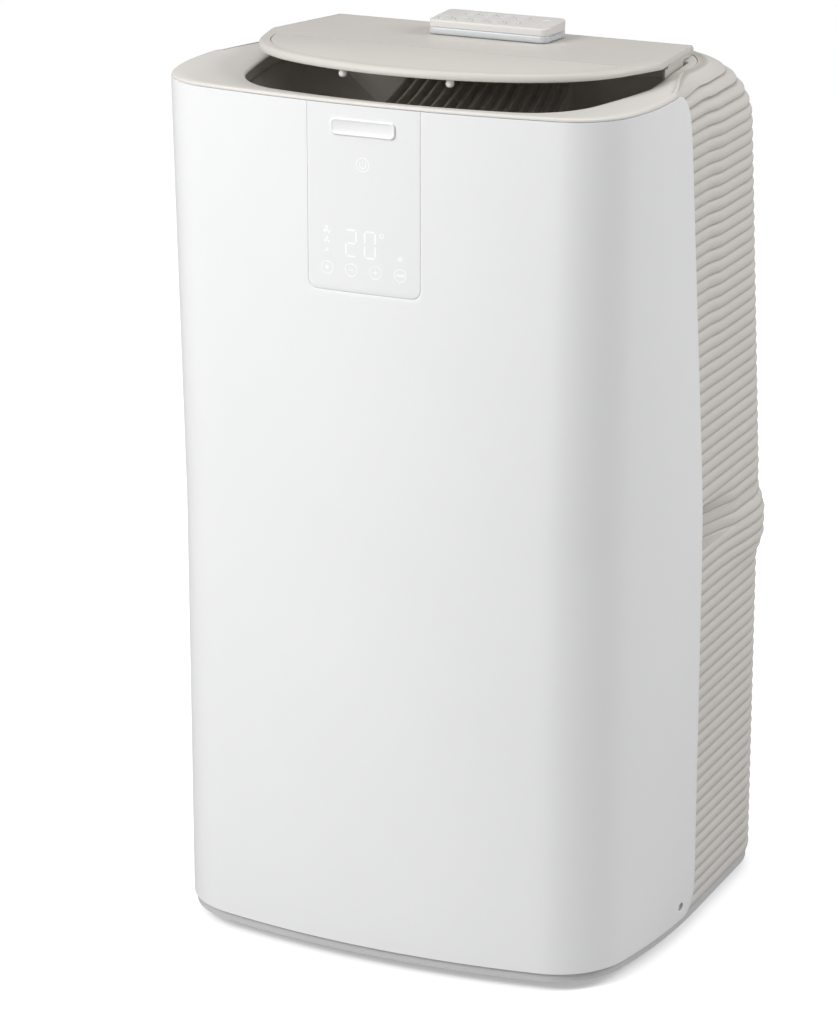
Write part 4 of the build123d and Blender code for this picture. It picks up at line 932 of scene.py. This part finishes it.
# ---- Remote control ----
REMOTE_X, REMOTE_WIDTH, REMOTE_DEPTH, REMOTE_FROM_HINGE = 7.0, 110.0, 46.0, -46.0
REMOTE_FRONT_H, REMOTE_REAR_H, REMOTE_SPLIT, REMOTE_CORNER_R = 12.5, 16.0, 6.5, 6.0
REMOTE_BASE = FLAP_LOW + FLAP_THICK + 0.3
REMOTE_SLOPE = (REMOTE_REAR_H - REMOTE_FRONT_H) / REMOTE_DEPTH
REMOTE_MID_H = (REMOTE_FRONT_H + REMOTE_REAR_H) / 2
BUTTON_R, BUTTON_PITCH = 6.0, 15.8
BUTTON_PLACES = [(-REMOTE_WIDTH / 2 + 11 + BUTTON_PITCH * i, -10) for i in range(5)]
BUTTON_PLACES += [(-REMOTE_WIDTH / 2 + 27.5 + BUTTON_PITCH * i, 10) for i in range(4)]


def remote_place(x, y, height):
    """Point on the remote: x and y from its middle, height above its underside."""
    return flap_place(REMOTE_X + x, REMOTE_FROM_HINGE + y, REMOTE_BASE + height)


def remote_face(x, y, height):
    """Point on the remote's sloping face, height above that face."""
    slope = math.atan(REMOTE_SLOPE)
    return remote_place(x, y * math.cos(slope) - height * math.sin(slope),
                        REMOTE_MID_H + y * math.sin(slope) + height * math.cos(slope))


def remote_outline(shrink):
    half_x, half_y = REMOTE_WIDTH / 2 - shrink, REMOTE_DEPTH / 2 - shrink
    return rounded_rectangle(-half_x, half_x, -half_y, half_y, max(REMOTE_CORNER_R - shrink, 1.0), 10)


def make_remote():
    loops = [[remote_place(x, y, REMOTE_SPLIT) for x, y in remote_outline(shrink)] for shrink in (2.0, 0.15)]
    for shrink, drop in ((0.0, 2.4), (0.0, 1.1), (0.08, 0.7), (0.3, 0.34), (0.7, 0.08), (1.2, 0.0)):
        loops.append([remote_place(x, y, REMOTE_MID_H + y * REMOTE_SLOPE - drop)
                      for x, y in remote_outline(shrink)])
    top = stack("remote_cover", loops)
    hole_r = BUTTON_R + 0.3
    drills = [lathe("drill", [(0, -4), (hole_r, -4), (hole_r, 3), (0, 3)], around(remote_face, *place), 32)
              for place in BUTTON_PLACES]
    pill = rounded_rectangle(REMOTE_WIDTH / 2 - 16.2, REMOTE_WIDTH / 2 - 9.8, -6.5, 10.5, 3.1, 8)
    drills.append(prism("pill", pill, -0.5, 3, remote_face))
    cut(top, join("drills", *drills))
    soften(top, 0.25, 1, 55)
    finish_piece(top, "remote", "remote_greige", "remote_top", angle=40)

    profile = [(3.0, 0.0), (1.6, 0.05), (0.7, 0.45), (0.2, 1.2), (0.0, 2.2), (0.0, 5.6), (0.25, 6.1),
               (0.8, REMOTE_SPLIT - 0.1)]
    bottom = stack("remote_underside", [[remote_place(x, y, height) for x, y in remote_outline(shrink)]
                                        for shrink, height in profile])
    inner, outer = REMOTE_WIDTH / 2 - 15 - 15.4, REMOTE_WIDTH / 2 - 15 + 20
    tray_slot = [(inner, -12.4), (outer, -12.4), (outer, 12.4), (inner, 12.4)]
    cut(bottom, prism("tray_slot", tray_slot, 1.0, 5.6, remote_place))
    finish_piece(bottom, "remote", "remote_white", "remote_bottom", angle=40)

    profile = [(0, -3.0), (5.7, -3.0), (5.95, -0.4), (5.9, 0.12), (5.65, 0.3), (5.1, 0.36), (4.7, 0.3),
               (4.3, 0.14), (3.0, 0.1), (0, 0.1)]
    bar, upright = stroke(-2.2, 0, 2.2, 0, 0.9), stroke(0, -2.2, 0, 2.2, 0.9)
    chevron = [stroke(-2, -1.2, 0, 1.5, 0.8), stroke(0, 1.5, 2, -1.2, 0.8)]
    glyphs = [[bar], [upright, bar], ring_outline(0, 0, 2.2, 0.7, 16), chevron, [disc(0, 0, 1.3)]]
    for number, centre in enumerate(BUTTON_PLACES, start=1):
        place = around(remote_face, *centre)
        marks = [prism("glyph", shape, 0.0, 0.28, place) for shape in glyphs[number % 5]]
        button = join(f"button_{number}", lathe("button", profile, place, 40), *marks)
        finish_piece(button, f"button_{number}", "button_grey", f"remote_button_{number}", angle=35)


# ---- Fittings on the back ----
def make_fittings():
    bore, length = COLLAR_BORE_R, 50.0
    profile = [(bore, -length), (bore, -2.0), (bore + 0.4, -0.9), (bore + 1.2, -0.3), (bore + 2.0, -0.6),
               (bore + 2.6, -1.6), (bore + 2.6, -length + 4), (bore + 6, -length + 3), (bore + 6, -length)]
    collar = ring_body("collar", profile, y_place(COLLAR_X, COLLAR_Z), 96)
    finish_piece(collar, "root", "inner_black", "exhaust_collar")
    for name, place, stem, cap in (("upper", UPPER_DRAIN, 172.0, 198.5),
                                   ("lower", LOWER_DRAIN, 190.0, 197.0)):
        profile = [(0, stem), (5, stem), (5, cap), (8.1, cap), (8.5, cap + 0.5), (8.5, cap + 2.9),
                   (7.9, cap + 3.6), (5.6, cap + 3.9), (5.0, cap + 3.3), (0, cap + 3.2)]
        to_world = y_place(*place, rear_y=0)
        grip = rounded_rectangle(-6.0, 6.0, -1.2, 1.2, 1.1, 5)
        plug = lathe("plug", profile, to_world, 48)
        tab = soften(prism("tab", grip, cap + 3.0, cap + 3.95, to_world), 0.3)
        finish_piece(join(f"{name}_plug_rubber", plug, tab), f"{name}_plug", "rubber_dark",
                     f"{name}_drain_plug")


make_front()
make_nameplate()
make_symbols()
make_housing()
make_intake(UPPER_WINDOW, "upper_intake", "upper_intake_grille")
make_intake(LOWER_WINDOW, "lower_intake", "lower_intake_grille")
make_ring()
make_duct()
make_louvres()
make_flap()
make_remote()
make_fittings()

# ---- Stage: floor, lights and camera ----
FLOOR_HALF = 9000.0
FLOOR_BOUNCE, FLOOR_GLOW = 0.45, 0.38
SKY, BACKDROP = 0.23, 1.0
SUN_DIRECTION, SUN_STRENGTH, SUN_SPREAD = (0.10, 0.22, -1), 1.27, 75
SOFTBOX_SIZE = 1.2
# name, place, aim, power in watts
SOFTBOXES = (("key", (-1.1, -2.1, 1.9), (0, 0, 0.55), 51), ("side_fill", (2.3, 0.9, 1.9), (0, 0, 0.5), 38))


def add_lamp(name, kind, direction, place, **settings):
    data = bpy.data.lights.new(name, kind)
    for key, value in settings.items():
        setattr(data, key, value)
    lamp = bpy.data.objects.new(name, data)
    lamp.location = place
    lamp.rotation_euler = Vector(direction).to_track_quat("-Z", "Y").to_euler()
    scene.collection.objects.link(lamp)


def make_stage():
    corners = [(x * FLOOR_HALF, y * FLOOR_HALF, 0) for x, y in ((-1, -1), (1, -1), (1, 1), (-1, 1))]
    floor = new_object("floor", corners, [(0, 1, 2, 3)])
    # a paper sweep: white and slightly lit from behind to look at, greyer in what it throws back
    tree = plastic("floor_white", (0.95, 0.95, 0.95), 0.6, grain=60, bump=0.01, vary=0.004, specular=0.1)
    seen = tree.nodes.new("ShaderNodeLightPath").outputs["Is Camera Ray"]
    dimmed = add_node(tree, "Mix", {"Factor": seen, "A": (*[FLOOR_BOUNCE] * 3, 1),
                                    "B": tree.nodes["Color Ramp"].outputs["Color"]}, data_type="RGBA")
    glow = add_node(tree, "Math", {0: seen, 1: FLOOR_GLOW}, operation="MULTIPLY")
    set_inputs(tree, tree.nodes["Principled BSDF"], {
        "Base Color": dimmed.outputs["Result"], "Emission Strength": glow.outputs["Value"],
        "Emission Color": (1, 1, 1, 1)})
    floor.data.materials.append(looks["floor_white"])

    scene.world = bpy.data.worlds.new("studio")
    scene.world.use_nodes = True
    tree = scene.world.node_tree
    # the backdrop is white to look at, and gives only the soft sky's light
    sky = set_inputs(tree, tree.nodes["Background"], {"Color": (1, 1, 1, 1), "Strength": SKY})
    backdrop = add_node(tree, "Background", {"Color": (1, 1, 1, 1), "Strength": BACKDROP})
    either = add_node(tree, "MixShader", {
        "Fac": tree.nodes.new("ShaderNodeLightPath").outputs["Is Camera Ray"],
        1: sky.outputs["Background"], 2: backdrop.outputs["Background"]})
    set_inputs(tree, tree.nodes["World Output"], {"Surface": either.outputs["Shader"]})

    add_lamp("overhead", "SUN", SUN_DIRECTION, (0, 0, 0), energy=SUN_STRENGTH, angle=math.radians(SUN_SPREAD))
    for name, place, aim, power in SOFTBOXES:
        add_lamp(name, "AREA", Vector(aim) - Vector(place), place, shape="RECTANGLE", size=SOFTBOX_SIZE,
                 size_y=SOFTBOX_SIZE, energy=power)
    scene.view_settings.view_transform = "Standard"


def make_camera():
    azimuth, elevation = math.radians(25.0), math.radians(17.65)
    distance, focal_pixels, picture_height, sensor = 3.342, 3826.5, 1024, 36
    aim_right, aim_up = -0.0442, 0.3994
    right = Vector((math.cos(azimuth), math.sin(azimuth), 0))
    toward = Vector((-math.sin(azimuth) * math.cos(elevation), math.cos(azimuth) * math.cos(elevation),
                     -math.sin(elevation)))
    data = bpy.data.cameras.new("camera")
    data.sensor_width = sensor
    data.lens = sensor * focal_pixels / picture_height
    data.shift_y = -0.05
    camera = bpy.data.objects.new("camera", data)
    camera.location = right * aim_right + Vector((0, 0, aim_up)) - toward * distance
    camera.rotation_euler = toward.to_track_quat("-Z", "Y").to_euler()
    scene.collection.objects.link(camera)
    bpy.context.scene.camera = camera


make_stage()
make_camera()
bpy.context.view_layer.update()
